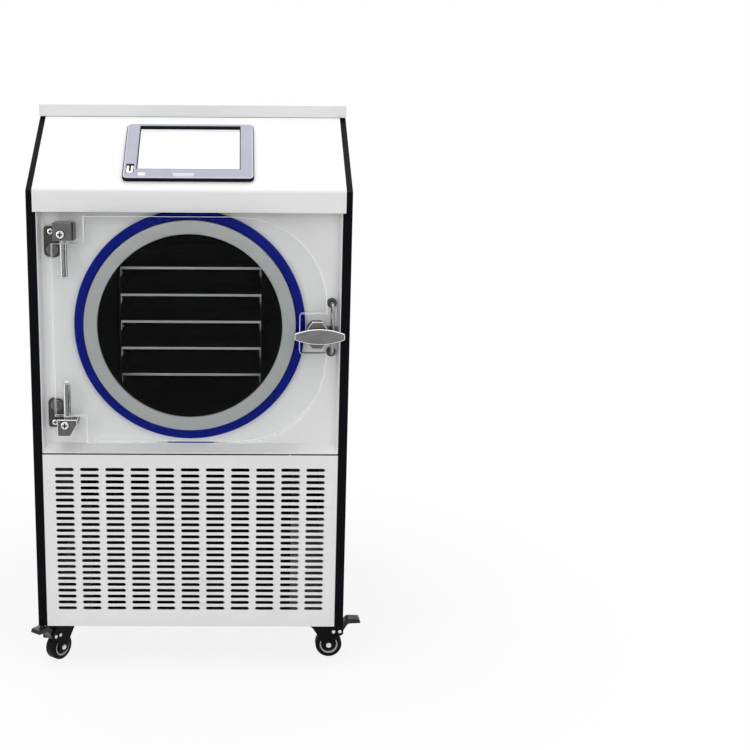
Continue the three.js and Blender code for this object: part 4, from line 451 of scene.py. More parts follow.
@dataclass(frozen=True)
class Finish:
    """What a surface is made of. Its variants add the detail that belongs to each kind."""

    name: str
    slot: str
    colour: Colour
    roughness: float = 0.5
    variation: float = 0.03
    gloss: float = 0.5
    patch: float = 25.0

    def shade(self, value: float) -> Colour:
        """The finish's colour, scaled."""
        return tuple(min(1.0, c * value) for c in self.colour)

    def drift(self, graph: ShaderGraph, value: Socket, by: float) -> Socket:
        """Colour that lies a share below and above the finish's own, by a value from 0 to 1."""
        return graph.tint(value, self.shade(1 - by), self.shade(1 + by))

    def wear(self, graph: ShaderGraph, value: Socket, by: float = 0.1) -> None:
        """Lets the roughness lie a share below and above the finish's own, by a value from 0 to 1."""
        rough = graph.spread(value, self.roughness * (1 - by), self.roughness * (1 + by))
        graph.feed(graph.surface.inputs["Roughness"], rough)

    def base(self, graph: ShaderGraph) -> None:
        """Colour and roughness that vary softly over the surface."""
        cloud = graph.spread(graph.noise(self.patch, 3), 0, 1)
        graph.set(Base_Color=self.drift(graph, cloud, self.variation), Specular_IOR_Level=self.gloss)
        self.wear(graph, graph.noise(self.patch / 3, 4))

    def build(self, graph: ShaderGraph) -> None:
        """Fills the node tree. Each kind of finish does this in its own way."""
        raise NotImplementedError


@dataclass(frozen=True)
class PowderCoat(Finish):
    """Baked paint with a fine orange-peel relief."""

    patch: float = 120.0
    grain: float = 1.4
    relief: float = 0.02
    coat: float = 0.08
    coat_roughness: float = 0.25

    def build(self, graph: ShaderGraph) -> None:
        """Soft colour drift and the relief of the sprayed coat."""
        self.base(graph)
        graph.bump(graph.noise(self.grain, 2), self.relief)
        graph.set(Coat_Weight=self.coat, Coat_Roughness=self.coat_roughness)


@dataclass(frozen=True)
class Metal(Finish):
    """Bare metal with brush lines along one axis. It can carry a painted highlight: flanks that turn white
    and glow by the facing angle.
    """

    patch: float = 18.0
    stretch: Three = (1.0, 1.0, 1.0)
    line: float = 0.25
    relief: float = 0.004
    streak: float = 0.25
    # painted highlight: strength of the glow painted on the flanks, then the facing range over which they
    # turn white
    painted_glow_strength: float = 0.0
    painted_flank: Point = (0.42, 0.62)

    def build(self, graph: ShaderGraph) -> None:
        """Brush lines in colour, roughness and relief, and, where set, a painted highlight on the flanks."""
        lines = graph.noise(self.line, 3, self.stretch)
        colour = self.drift(graph, graph.spread(graph.noise(self.patch, 2), 0, 1), self.variation)
        if self.painted_glow_strength:
            # painted highlight: the flanks are turned white by their facing angle
            facing = graph.add("LayerWeight", Blend=0.5).outputs["Facing"]
            low, high = self.painted_flank
            painted_flank = graph.add("MapRange", Value=facing, From_Min=low, From_Max=high).outputs["Result"]
            colour = graph.tint(painted_flank, colour, WHITE)
            # painted glow: the flanks emit light, though the metal is no lamp
            lit = graph.add("MapRange", Value=painted_flank, To_Max=self.painted_glow_strength).outputs["Result"]
            graph.set(Emission_Color=(*WHITE, 1.0), Emission_Strength=lit)
        graph.set(Metallic=1.0, Base_Color=colour)
        self.wear(graph, lines, self.streak)
        graph.bump(lines, self.relief)


@dataclass(frozen=True)
class ZincPlate(Finish):
    """Zinc-plated sheet with its faint crystal pattern."""

    variation: float = 0.12
    crystal: float = 9.0
    dulling: Point = (0.85, 1.2)
    grain: float = 0.8
    relief: float = 0.004

    def build(self, graph: ShaderGraph) -> None:
        """Crystals that differ a little in colour and gloss."""
        cells = graph.add("TexVoronoi", Vector=graph.coordinates, Scale=1 / (self.crystal * MM))
        grey = graph.add("RGBToBW", Color=cells.outputs["Color"]).outputs[0]
        rough = graph.spread(grey, *(self.roughness * share for share in self.dulling))
        graph.set(Metallic=1.0, Base_Color=self.drift(graph, grey, self.variation), Roughness=rough)
        graph.bump(graph.noise(self.grain, 2), self.relief)


@dataclass(frozen=True)
class Plastic(Finish):
    """Moulded plastic with a spark-eroded grain. Its glow is painted light: white emission on a part that is
    no lamp, as on the clear sheet's bright edges.
    """

    grain: float = 0.35
    relief: float = 0.012
    # painted glow: strength of the white emission
    glow: float = 0.0

    def build(self, graph: ShaderGraph) -> None:
        """Fine grain of the mould."""
        self.base(graph)
        # painted glow: white emission, though the part is no lamp
        graph.set(Emission_Color=(*WHITE, 1.0), Emission_Strength=self.glow)
        graph.bump(graph.noise(self.grain, 3), self.relief)


@dataclass(frozen=True)
class Rubber(Finish):
    """Silicone or tread rubber with light dust in its surface."""

    speck: float = 2.2
    dust: float = 0.06
    scatter: float = 0.0
    scatter_depth: float = 2.0
    pore: float = 0.6
    relief: float = 0.015

    def build(self, graph: ShaderGraph) -> None:
        """Matt surface with dust, soft light scatter and small pores."""
        specks = graph.spread(graph.noise(self.speck, 5, twist=0.6), 0, 1)
        dusty = tuple(c + self.dust for c in self.colour)
        graph.set(Base_Color=graph.tint(specks, self.shade(1 - self.variation), dusty))
        graph.set(Specular_IOR_Level=self.gloss)
        self.wear(graph, specks)
        if self.scatter:
            graph.set(Subsurface_Weight=self.scatter, Subsurface_Scale=self.scatter_depth * MM)
        graph.bump(graph.noise(self.pore, 3), self.relief)


@dataclass(frozen=True)
class ClearAcrylic(Finish):
    """Clear cast sheet. Light from the lamps passes it, so that what is behind it is lit."""

    patch: float = 40.0
    index: float = 1.49
    mirror: float = 0.07
    wave: float = 90.0
    relief: float = 0.01
    shadow: float = 0.97

    def build(self, graph: ShaderGraph) -> None:
        """Clear, slightly wavy slab with a faint haze."""
        haze = graph.spread(graph.noise(self.patch, 4), 0.0, self.roughness)
        tint = (self.mirror, self.mirror, self.mirror, 1.0)
        graph.set(Base_Color=(*self.colour, 1.0), Roughness=haze, IOR=self.index)
        graph.set(Transmission_Weight=1.0, Specular_Tint=tint)
        graph.bump(graph.noise(self.wave, 1), self.relief)
        clear = graph.add("BsdfTransparent", Color=(*self.shade(self.shadow), 1.0))
        passing = graph.add("LightPath").outputs["Is Shadow Ray"]
        graph.blend(passing, graph.surface, clear, graph.output)


@dataclass(frozen=True)
class LitDisplay(Finish):
    """Backlit display behind smooth glass."""

    patch: float = 130.0
    light: float = 0.9
    dim: float = 0.94
    unlit: Colour = (0.02, 0.02, 0.025)
    glass: Point = (0.6, 0.04)

    def build(self, graph: ShaderGraph) -> None:
        """Bright panel with a faint cool cast that drifts over it."""
        drift = graph.spread(graph.noise(self.patch, 1), 0, 1)
        glow = graph.tint(drift, self.colour, self.shade(self.dim))
        graph.set(Emission_Color=glow, Emission_Strength=self.light)
        graph.set(Base_Color=(*self.unlit, 1.0), Roughness=self.roughness)
        graph.set(Coat_Weight=self.glass[0], Coat_Roughness=self.glass[1])


@dataclass(frozen=True)
class Foam(Finish):
    """Closed-cell foam sheet."""

    variation: float = 0.3
    cell: float = 2.5
    relief: float = 0.3

    def build(self, graph: ShaderGraph) -> None:
        """Small cells in colour and relief."""
        cells = graph.add("TexVoronoi", Vector=graph.coordinates, Scale=1 / (self.cell * MM))
        distance = cells.outputs["Distance"]
        graph.set(Base_Color=self.drift(graph, distance, self.variation), Roughness=self.roughness)
        graph.bump(distance, self.relief)


WHITE_PAINT = PowderCoat("white_powder_coat", "white_paint", (0.80, 0.805, 0.80), 0.42, 0.012)
DARK_PAINT = PowderCoat(
    "dark_hammered_coat",
    "dark_paint",
    (0.0018, 0.002, 0.0036),
    0.5,
    0.3,
    0.06,
    grain=1.8,
    relief=0.16,
    coat=0.0,
)
BEZEL_PLASTIC = Plastic("bezel_plastic", "bezel_plastic", (0.385, 0.395, 0.47), 0.4, 0.05, 0.3)
# Paler plastic: the bare plate in the recess, and a painted highlight on the face plate's bevel and the
# recesses' walls.
BEZEL_PALE_AND_EDGE_HIGHLIGHT = Plastic("bezel_pale_and_painted_edge_highlight", "bezel_plastic", (0.60, 0.62, 0.70), 0.35, 0.04, 0.3)
# Near-black: the bezel's rear part and housing, and the liner round the display as painted shade.
BEZEL_SKIRT = Plastic("bezel_skirt", "bezel_plastic", (0.003, 0.003, 0.008), 0.4, 0.1, 0.1)
PALE_PATCH = Plastic("pale_patch", "white_paint", (0.75, 0.77, 0.79), 0.35, 0.02)
DISPLAY = LitDisplay("lit_display", "screen_glass", (0.97, 0.98, 1.0), 0.12)
STEEL = Metal("brushed_stainless", "stainless", (0.185, 0.18, 0.186), 0.34, 0.14, stretch=(8, 1, 1))
STEEL_UPRIGHT = Metal(
    "brushed_stainless_upright", "stainless", (0.125, 0.124, 0.126), 0.34, 0.16, stretch=(1, 1, 8)
)
# Bright steel: the data port's shell, and a painted highlight on the rounded edges of the hinges, latch and
# lever.
BRIGHT_STEEL_AND_EDGE_HIGHLIGHT = Metal("bright_steel_and_painted_edge_highlight", "stainless", (0.86, 0.86, 0.87), 0.22, 0.05)
PLATE_STEEL = Metal("dull_plate", "stainless", (0.062, 0.062, 0.06), 0.42, 0.2, stretch=(1, 1, 4))
# Pin steel with a painted highlight: its flanks turn white and glow, standing in for the bright walls of the
# hole round it.
PIN_STEEL_PAINTED_FLANKS = Metal(
    "ground_pin_painted_flanks", "polished_steel", (0.25, 0.25, 0.255), 0.2, 0.05, stretch=(1, 1, 6), painted_glow_strength=0.6
)
STEEL_TURNED = Metal("turned_stainless", "polished_steel", (0.42, 0.415, 0.41), 0.24, 0.06)
POLISHED = Metal("polished_steel", "polished_steel", (0.68, 0.68, 0.69), 0.12, 0.03, stretch=(1, 1, 6))
STAPLE_STEEL = Metal("bent_rod", "polished_steel", (0.30, 0.30, 0.305), 0.16, 0.06, stretch=(1, 1, 4))
DARK_STEEL = Metal("dark_steel", "stainless", (0.22, 0.22, 0.225), 0.36, 0.1, stretch=(1, 1, 4))
# Near-black: painted shade inside the chamber and in the vacuum port's bore.
CHAMBER_SHADE = PowderCoat(
    "chamber_painted_shade", "black_steel", (0.004, 0.004, 0.0042), 0.6, 0.3, 0.04, grain=3.0, relief=0.02, coat=0.0
)
# Near-black: painted shade on the shelves and the rack's plates; the shelves' front edges keep their bright
# metal.
SHELF_SHADE = PowderCoat(
    "shelf_painted_shade", "black_steel", (0.005, 0.005, 0.0055), 0.5, 0.3, 0.06, grain=0.8, relief=0.01, coat=0.0
)
SHELF_EDGE = Metal("shelf_edge", "shelf_aluminium", (0.33, 0.335, 0.35), 0.4, 0.05, stretch=(10, 1, 1))
GASKET = Rubber("silicone_gasket", "gasket", (0.40, 0.415, 0.41), 0.52, 0.04, 0.5, dust=0.02, scatter=0.15)
TRIM_BLUE = Plastic("blue_ring", "trim_blue", (0.0, 0.007, 0.21), 0.34, 0.12, 0.05, grain=0.8, relief=0.008)
BLACK_PLASTIC = Plastic("black_plastic", "black_plastic", (0.004, 0.004, 0.0045), 0.42, 0.1, 0.2)
PEDAL_PLASTIC = Plastic(
    "pedal_plastic", "black_plastic", (0.006, 0.006, 0.0065), 0.3, 0.3, 0.35, grain=0.9, relief=0.06
)
RED_PLASTIC = Plastic("red_rocker", "red_plastic", (0.50, 0.012, 0.018), 0.22, 0.05, relief=0.004)
MARK_WHITE = Plastic("white_mark", "white_paint", (0.82, 0.82, 0.82), 0.5, 0.02)
ACRYLIC = ClearAcrylic("clear_acrylic", "clear_acrylic", (0.92, 0.925, 0.925), 0.012)
ZINC = ZincPlate("zinc_sheet", "zinc_steel", (0.33, 0.335, 0.34), 0.42)
ZINC_DARK = ZincPlate("zinc_shaded", "zinc_steel", (0.035, 0.035, 0.037), 0.5)
# White edge finish of the clear sheet and the pin's tip: painted highlight with a painted glow.
ACRYLIC_EDGE_GLOW = Plastic(
    "acrylic_edge_painted_glow", "clear_acrylic", (0.93, 0.935, 0.94), 0.3, 0.03, relief=0.002, glow=0.28
)
COPPER = Metal("copper_tube", "copper", (0.62, 0.26, 0.12), 0.34, 0.15, stretch=(1, 6, 1))
BLACK_STEEL = PowderCoat(
    "black_steel", "black_steel", (0.0018, 0.0018, 0.0026), 0.34, 0.2, 0.08, grain=1.0, relief=0.02, coat=0.0
)
TYRE = Rubber("tread_rubber", "caster_tyre", (0.0018, 0.0018, 0.0022), 0.5, 0.2, 0.1, dust=0.001)
RIM_GREY = Plastic("wheel_rim", "black_plastic", (0.52, 0.52, 0.54), 0.35, 0.05)
FOAM = Foam("foam_jacket", "foam", (0.02, 0.02, 0.022), 0.9)
# Near-black fins: painted shade behind the grille's slots.
FINS_PAINTED_SHADE = PowderCoat(
    "fin_pack", "fin_pack", (0.004, 0.004, 0.0045), 0.6, 0.3, 0.05, grain=1.0, relief=0.02, coat=0.0
)


@cache
def material_of(finish: Finish) -> bpy.types.Material:
    """The finish's material, built the first time it is asked for."""
    graph = ShaderGraph(finish.name)
    finish.build(graph)
    return graph.material


# ---------------------------------------------------------------- shapes


class Shape:
    """Closed surfaces of one piece, drawn in frames of their own."""

    def __init__(self, frame: Matrix | None = None) -> None:
        """Starts an empty shape in a frame."""
        self.mesh = bmesh.new()
        self.frame = frame or Matrix.Identity(4)

    def within(self, frame: Matrix) -> Shape:
        """Draws what follows in another frame."""
        self.frame = frame
        return self

    def beside(self, frame: Matrix, u: float, v: float, w: float) -> Shape:
        """Draws what follows at a point of another frame."""
        return self.within(frame @ Matrix.Translation((u, v, w)))

    def point(self, u: float, v: float, w: float) -> bmesh.types.BMVert:
        """One vertex, in the current frame."""
        return self.mesh.verts.new(self.frame @ Vector((u, v, w)))

    def loop(self, outline: Iterable[Point], w: float) -> list[bmesh.types.BMVert]:
        """Vertices of an outline at a height."""
        return [self.point(u, v, w) for u, v in outline]

    def face(self, *corners: bmesh.types.BMVert, finish: int = 0) -> None:
        """One face, in one of the piece's finishes."""
        self.mesh.faces.new(corners).material_index = finish

    def wall(self, first: Sequence, second: Sequence, finish: int = 0) -> None:
        """Faces between two closed loops. A loop of one vertex is a tip."""
        for k in range(max(len(first), len(second))):
            if len(first) == len(second):
                corners = [first[k - 1], first[k], second[k], second[k - 1]]
            elif len(first) == 1:
                corners = [first[0], second[k], second[k - 1]]
            else:
                corners = [first[k - 1], first[k], second[0]]
            self.face(*corners, finish=finish)

    def cap(self, loops: Sequence[Sequence[bmesh.types.BMVert]], finish: int = 0) -> None:
        """Flat faces over the first loop, with the other loops as holes in it."""
        if len(loops) == 1:
            self.face(*loops[0], finish=finish)
            return
        vertices = [vertex for loop in loops for vertex in loop]
        back = self.frame.inverted()
        flat = [[(back @ vertex.co).to_2d().to_3d() for vertex in loop] for loop in loops]
        for triangle in tessellate_polygon(flat):
            self.face(*(vertices[k] for k in triangle), finish=finish)

    def plate(
        self,
        outline: Sequence[Point],
        low: float,
        high: float,
        holes: Iterable[Sequence[Point]] = (),
        pockets: Iterable[tuple[Sequence[Point], float]] = (),
    ) -> Shape:
        """Slab between two heights.

        Args:
            outline: Its edge.
            low: Height of its lower face.
            high: Height of its upper face.
            holes: Outlines of the holes through it.
            pockets: Outlines and depths of the recesses in its upper face.

        Returns:
            The shape itself.
        """
        bottom, top = self.loop(outline, low), self.loop(outline, high)
        self.wall(bottom, top)
        lower, upper = self.openings(low, high, holes, pockets)
        self.cap([bottom, *lower])
        self.cap([top, *upper])
        return self

    def openings(
        self,
        low: float,
        high: float,
        holes: Iterable[Sequence[Point]],
        pockets: Iterable[tuple[Sequence[Point], float]],
        finish: int = 0,
    ) -> tuple[list, list]:
        """Walls of a slab's holes, and walls and floors of its pockets.

        Args:
            low: Height of the slab's lower face.
            high: Height of its upper face.
            holes: Outlines of the holes through it.
            pockets: Outlines and depths of the recesses in its upper face.
            finish: Finish of the pockets' walls.

        Returns:
            Loops of the openings in the lower face, and of those in the upper face.
        """
        lower, upper = [], []
        for hole in holes:
            lower.append(self.loop(hole, low))
            upper.append(self.loop(hole, high))
            self.wall(lower[-1], upper[-1])
        for pocket, depth in pockets:
            floor, rim = self.loop(pocket, high - depth), self.loop(pocket, high)
            self.wall(floor, rim, finish)
            self.cap([floor])
            upper.append(rim)
        return lower, upper

    def lathe(
        self, profile: Sequence[Point], steps: int = ROUND_STEPS, finishes: Sequence[int] = ()
    ) -> Shape:
        """Turns a profile about the w axis.

        Args:
            profile: Its (radius, w) points. It starts and ends on the axis, or closes on itself.
            steps: Faces round the axis.
            finishes: Finish of each stretch of the profile.

        Returns:
            The shape itself.
        """
        rings = [
            [self.point(0, 0, w)] if radius <= 0 else self.loop(circle(radius, steps), w)
            for radius, w in profile
        ]
        if profile[0][0] > 0:
            rings.append(rings[0])
        for k, (first, second) in enumerate(zip(rings, rings[1:])):
            self.wall(first, second, finishes[k] if k < len(finishes) else 0)
        return self

    def rod(
        self, radius: float, low: float, high: float, steps: int = SMALL_STEPS, ease: float = 0.0
    ) -> Shape:
        """Round bar between two heights, with its ends eased off by a radius."""
        if ease <= 0:
            return self.lathe([(0, low), (radius, low), (radius, high), (0, high)], steps)
        quarter = arc((radius - ease, high - ease), ease, 0, 90, 3)
        foot = [(r, low + high - w) for r, w in reversed(quarter)]
        return self.lathe([(0, low), *foot, *quarter, (0, high)], steps)

    def sweep(self, path: Sequence[Vector], radius: float, sides: int = 16) -> Shape:
        """Round tube along a line of points, closed at both ends.

        Args:
            path: The points of its middle line.
            radius: Its radius.
            sides: Faces round it.

        Returns:
            The shape itself.
        """
        section = circle(radius, sides)
        along = (path[1] - path[0]).normalized()
        across = along.orthogonal().normalized()
        rings = []
        for k, here in enumerate(path):
            ahead = path[min(k + 1, len(path) - 1)] - path[max(k - 1, 0)]
            across = across - ahead * (across.dot(ahead) / ahead.length_squared)
            frame = place(here, across.normalized(), ahead.normalized().cross(across.normalized()))
            rings.append([self.mesh.verts.new(self.frame @ (frame @ Vector((u, v, 0)))) for u, v in section])
        for first, second in zip(rings, rings[1:]):
            self.wall(first, second)
        self.face(*rings[0])
        self.face(*rings[-1])
        return self

    def screw_head(self, radius: float, height: float, washer: float = 0.0) -> Shape:
        """Pan head with a cross recess, standing on w = 0.

        Args:
            radius: Radius of the head.
            height: Its height.
            washer: How far a thin dark ring under it stands out: a painted shadow round the head.

        Returns:
            The shape itself. The recess has finish 1, dark as painted shade, and the ring too.
        """
        steps = 24
        sheet = 0.3
        foot = 0.0
        # dark ring under the head: a painted shadow
        if washer > 0:
            foot = sheet + HAIRLINE
            across = radius + washer
            self.lathe([(0, 0), (across, 0), (across, sheet), (0, sheet)], steps, [1, 1, 1])
        shoulder = [(1.0, foot), (1.0, height * 0.4), (0.9, height * 0.8), (0.7, height)]
        rings = [self.loop(circle(radius * share, steps), w) for share, w in shoulder]
        for first, second in zip(rings, rings[1:]):
            self.wall(first, second)
        self.cap([rings[0]])
        reach, width, bottom = radius * 0.6, radius * 0.34, height * 0.3
        recess = cross_outline(reach, width)
        rim, floor = self.loop(recess, height), self.loop(recess, bottom)
        # recess walls and floor in finish 1: painted shade
        self.wall(floor, rim, 1)
        self.cap([floor], 1)
        self.cap([rings[-1], rim])
        return self

    def piece(
        self,
        name: str,
        finish: Finish | Sequence[Finish],
        body: str,
        edge: Edge = Edge.NONE,
        replaces: Sequence[str] = (),
        segments: int = 2,
        rim: Finish | None = None,
    ) -> None:
        """Makes the shape a piece of the scene.

        Args:
            name: The piece's name.
            finish: Its finish, or several for a shape whose faces name them.
            body: CAD body that it rides on.
            edge: Rounding of its edges.
            replaces: CAD nodes that it stands for.
            segments: Faces across each rounded edge.
            rim: Finish of the rounded edges, where they have one of their own.
        """
        finishes = [finish] if isinstance(finish, Finish) else list(finish)
        if rim:
            finishes.append(rim)
        bmesh.ops.recalc_face_normals(self.mesh, faces=self.mesh.faces)
        data = bpy.data.meshes.new(name)
        self.mesh.to_mesh(data)
        self.mesh.free()
        data.transform(Matrix.Scale(MM, 4))
        for each in finishes:
            data.materials.append(material_of(each))
        made = bpy.data.objects.new(name, data)
        bpy.context.scene.collection.objects.link(made)
        soften(made, edge, segments, len(finishes) - 1 if rim else -1)
        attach(made, body)
        if replaces:
            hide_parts(*replaces)
        LOG.info("made %s in %s on %s", name, finishes[0].name, body)


def rounded_path(points: Sequence[Vector], radius: float, steps: int = 8) -> list[Vector]:
    """Line through points, with its corners as smooth curves.

    Args:
        points: The corners of the line.
        radius: How far before and after a corner its curve starts and ends.
        steps: Straight stretches along each curve.

    Returns:
        The points of the smooth line.
    """
    path = [points[0]]
    for before, corner, after in zip(points, points[1:], points[2:]):
        into = corner + (before - corner).normalized() * radius
        out = corner + (after - corner).normalized() * radius
        for k in range(steps + 1):
            t = k / steps
            path.append(into * (1 - t) ** 2 + corner * (2 * t * (1 - t)) + out * t**2)
    return [*path, points[-1]]


def mirrored(frame: Matrix, axis: Vector) -> Matrix:
    """The frame with one of its own axes turned round."""
    return frame @ Matrix.Scale(-1, 4, axis)


# ---------------------------------------------------------------- cabinet


@dataclass
class SlottedSheet:
    """Punched sheet panel: a grid of cells, some with an opening in them."""

    columns: list[float]
    rows: list[float]
    low: float
    high: float
    openings: dict[tuple[int, int, int, int], list[Point]] = field(default_factory=dict)

    def rim(self, shape: Shape, grid: dict, cell: tuple[int, int, int, int], w: float) -> list:
        """Grid vertices round a block of cells, in order.

        Args:
            shape: The shape that is drawn.
            grid: The vertices made so far, by column, row and height.
            cell: First and last column line, first and last row line.
            w: Height of the face.

        Returns:
            The vertices, starting at the lower left.
        """
        i0, i1, j0, j1 = cell
        around = [(i, j0) for i in range(i0, i1)] + [(i1, j) for j in range(j0, j1)]
        around += [(i, j1) for i in range(i1, i0, -1)] + [(i0, j) for j in range(j1, j0, -1)]
        for i, j in around:
            if (i, j, w) not in grid:
                grid[i, j, w] = shape.point(self.columns[i], self.rows[j], w)
        return [grid[i, j, w] for i, j in around]

    def zip_faces(self, shape: Shape, outer: list, inner: list) -> None:
        """Fills the ring between two loops that both go round the inner loop's middle.

        Args:
            shape: The shape that is drawn.
            outer: Vertices of the outer loop.
            inner: Vertices of the inner loop.
        """
        middle = sum((vertex.co for vertex in inner), Vector()) / len(inner)
        back = shape.frame.to_3x3().inverted()

        def angle(vertex: bmesh.types.BMVert) -> float:
            """Direction of a vertex from the middle."""
            flat = back @ (vertex.co - middle)
            return math.atan2(flat.y, flat.x)

        loops = [sorted(loop, key=angle) for loop in (outer, inner)]
        steps = [[angle(v) for v in loop] for loop in loops]
        turns = [values + [values[0] + 2 * math.pi] for values in steps]
        a = b = 0
        while a < len(outer) or b < len(inner):
            here = [loops[0][a % len(outer)], loops[1][b % len(inner)]]
            if b >= len(inner) or (a < len(outer) and turns[0][a + 1] <= turns[1][b + 1]):
                a += 1
                shape.face(here[0], loops[0][a % len(outer)], here[1])
            else:
                b += 1
                shape.face(here[0], loops[1][b % len(inner)], here[1])

    def draw(self, shape: Shape) -> Shape:
        """Draws both faces of the sheet, its edge and the walls of its openings."""
        grid: dict = {}
        last = (len(self.columns) - 1, len(self.rows) - 1)
        covered = {
            (i, j)
            for i0, i1, j0, j1 in self.openings
            for i in range(i0, i1)
            for j in range(j0, j1)
        }
        for w in (self.low, self.high):
            for i in range(last[0]):
                for j in range(last[1]):
                    if (i, j) not in covered:
                        shape.face(*self.rim(shape, grid, (i, i + 1, j, j + 1), w))
        whole = (0, last[0], 0, last[1])
        shape.wall(self.rim(shape, grid, whole, self.low), self.rim(shape, grid, whole, self.high))
        for cell, outline in self.openings.items():
            loops = [shape.loop(outline, w) for w in (self.low, self.high)]
            shape.wall(*loops)
            for w, loop in zip((self.low, self.high), loops):
                self.zip_faces(shape, self.rim(shape, grid, cell, w), loop)
        return shape

    @staticmethod
    def punched(
        low: Point, high: Point, first: Point, pitch: Point, count: tuple[int, int], slot: Point, sheet: float
    ) -> SlottedSheet:
        """Sheet with a grid of slots and plain margins, with its upper face at w = 0.

        Args:
            low: Its lower left corner.
            high: Its upper right corner.
            first: Middle of the lower left slot.
            pitch: From one slot to the next, across and up.
            count: Number of slots across and up.
            slot: Length and height of a slot.
            sheet: Thickness of the sheet.

        Returns:
            The sheet.
        """
        lines = [
            [start, *(middle + (k - 0.5) * step for k in range(number + 1)), end]
            for start, end, middle, step, number in zip(low, high, first, pitch, count)
        ]
        made = SlottedSheet(*lines, -sheet, 0)
        for i in range(count[0]):
            for j in range(count[1]):
                middle = (first[0] + i * pitch[0], first[1] + j * pitch[1])
                made.openings[i + 1, i + 2, j + 1, j + 2] = slot_outline(*slot, middle)
        return made


@dataclass
class Cabinet:
    """Sheet-metal body: side panels, hood, top, fascia, front grille and rear panels."""

    frame: Frame
    grille_count: tuple[int, int] = (11, 24)
    grille_pitch: Point = (40.2, 10.22)
    grille_slot: Point = (30.0, 5.3)
    grille_margin: Point = (34.0, 24.4)
    grille_sheet: float = 0.8
    seam_gap: float = 0.15
    seam_depth: float = 2.2
    seam_thickness: float = 4.0
    seam_inset: float = 8.0
    baffle_gap: float = 0.4
    baffle_sheet: float = 1.0
    baffle_fold: float = 30.0
    rear_count: tuple[int, int] = (11, 13)
    rear_sheet_gap: float = 0.5
    rear_pitch: Point = (35.0, 20.0)
    rear_slot: Point = (29.0, 9.5)
    rear_margin: Point = (60.0, 38.0)
    rear_screw_height: float = 1.5
    rear_screw_radius: float = 4.0
    rear_screw_inset: Point = (7.5, 9.0)
    port_hole: float = 23.0
    port_hole_steps: int = 48
    port_cell: float = 30.0

    def build(self) -> None:
        """Dresses the folded sheets and makes the punched ones."""
        for node in ("left_side_panel", "right_side_panel"):
            self.frame.dress(node, DARK_PAINT, Edge.SHEET, 3)
        for node in ("top_cover", "control_hood", "rear_upper_panel"):
            self.frame.dress(node, WHITE_PAINT, Edge.SHEET, 3)
        self.frame.dress("front_fascia", WHITE_PAINT, Edge.FINE)
        self.frame.dress("base_pan", ZINC, Edge.FINE, 1)
        self.build_grille()
        self.build_baffle()
        self.build_seam()
        self.build_rear_cover()

    def build_grille(self) -> None:
        """Front panel with its rows of slots."""
        box = Box.of("front_grille")
        x, z = self.grille_margin
        sheet = SlottedSheet.punched(
            (box.low.x, box.low.z),
            (box.high.x, box.high.z),
            (box.low.x + x, box.high.z - z - (self.grille_count[1] - 1) * self.grille_pitch[1]),
            self.grille_pitch,
            self.grille_count,
            self.grille_slot,
            self.grille_sheet,
        )
        shape = sheet.draw(Shape(Facing.FRONT.at(0, box.low.y, 0)))
        shape.piece("grille_sheet", WHITE_PAINT, "cabinet", Edge.FINE, ["front_grille"], 1)

    def build_seam(self) -> None:
        """Dark sealing strip in the joint between the grille and the fascia."""
        grille, fascia = Box.of("front_grille"), Box.of("front_fascia")
        low, high = grille.high.z + self.seam_gap, fascia.low.z - self.seam_gap
        shape = Shape(Facing.FRONT.at(grille.centre.x, grille.low.y + self.seam_depth, (low + high) / 2))
        shape.plate(box_outline(grille.size.x - self.seam_inset, high - low), -self.seam_thickness, 0)
        shape.piece("joint_strip", BLACK_PLASTIC, "cabinet", Edge.FINE, segments=1)

    def build_baffle(self) -> None:
        """Dark sheet that closes the gap between the condenser and the chamber's deck."""
        condenser, deck, shroud = (Box.of(n) for n in ("condenser_radiator", "chamber_cradle", "fan_shroud"))
        low, high = shroud.high.z + self.baffle_gap, deck.low.z - self.baffle_gap
        shape = Shape(Facing.FRONT.at(condenser.centre.x, shroud.low.y, (low + high) / 2))
        shape.plate(box_outline(shroud.size.x, high - low), -self.baffle_sheet, 0)
        foot = (0, (low - high + self.baffle_sheet) / 2)
        fold = box_outline(shroud.size.x, self.baffle_sheet, foot)
        shape.plate(fold, HAIRLINE, self.baffle_fold)
        shape.piece("air_baffle", BLACK_STEEL, "cabinet", Edge.FINE, segments=1)

    def build_rear_cover(self) -> None:
        """Rear panel with its slots, the vacuum port's hole and its screws."""
        box = Box.of("rear_cover")
        port = Box.of("vacuum_port").centre
        x, z = self.rear_margin
        face = box.high.y - self.rear_screw_height
        sheet = SlottedSheet.punched(
            (-box.high.x, box.low.z),
            (-box.low.x, box.high.z),
            (x - box.high.x, box.low.z + z),
            self.rear_pitch,
            self.rear_count,
            self.rear_slot,
            face - box.low.y - self.rear_sheet_gap,
        )
        sheet.rows[-1:] = [port.z - self.port_cell, port.z + self.port_cell, box.high.z]
        i, j = (self.rear_count[0] + 1) // 2, self.rear_count[1] + 2
        hole = circle(self.port_hole, self.port_hole_steps, (-port.x, port.z))
        sheet.openings[i - 1, i + 2, j, j + 1] = hole
        shape = sheet.draw(Shape(Facing.REAR.at(0, face, 0)))
        shape.piece("rear_cover_sheet", WHITE_PAINT, "cabinet", Edge.FINE, ["rear_cover"], 1)
        screws = Shape()
        for place_x, place_z in self.rear_screw_places(box):
            screws.within(Facing.REAR.at(place_x, face, place_z))
            screws.screw_head(self.rear_screw_radius, self.rear_screw_height)
        # black second finish: painted shade in the cross recesses
        screws.piece("rear_cover_screws", [POLISHED, BLACK_PLASTIC], "cabinet", Edge.FINE)

    def rear_screw_places(self, box: Box) -> list[Point]:
        """Middles of the rear cover's ten screws: four down each side, one above and one below."""
        x, z = self.rear_screw_inset
        low, high = box.low.z + z, box.high.z - z
        heights = [low + (high - low) * k / 3 for k in range(4)]
        sides = [(side, height) for side in (box.low.x + x, box.high.x - x) for height in heights]
        return sides + [(box.centre.x, low), (box.centre.x, high)]


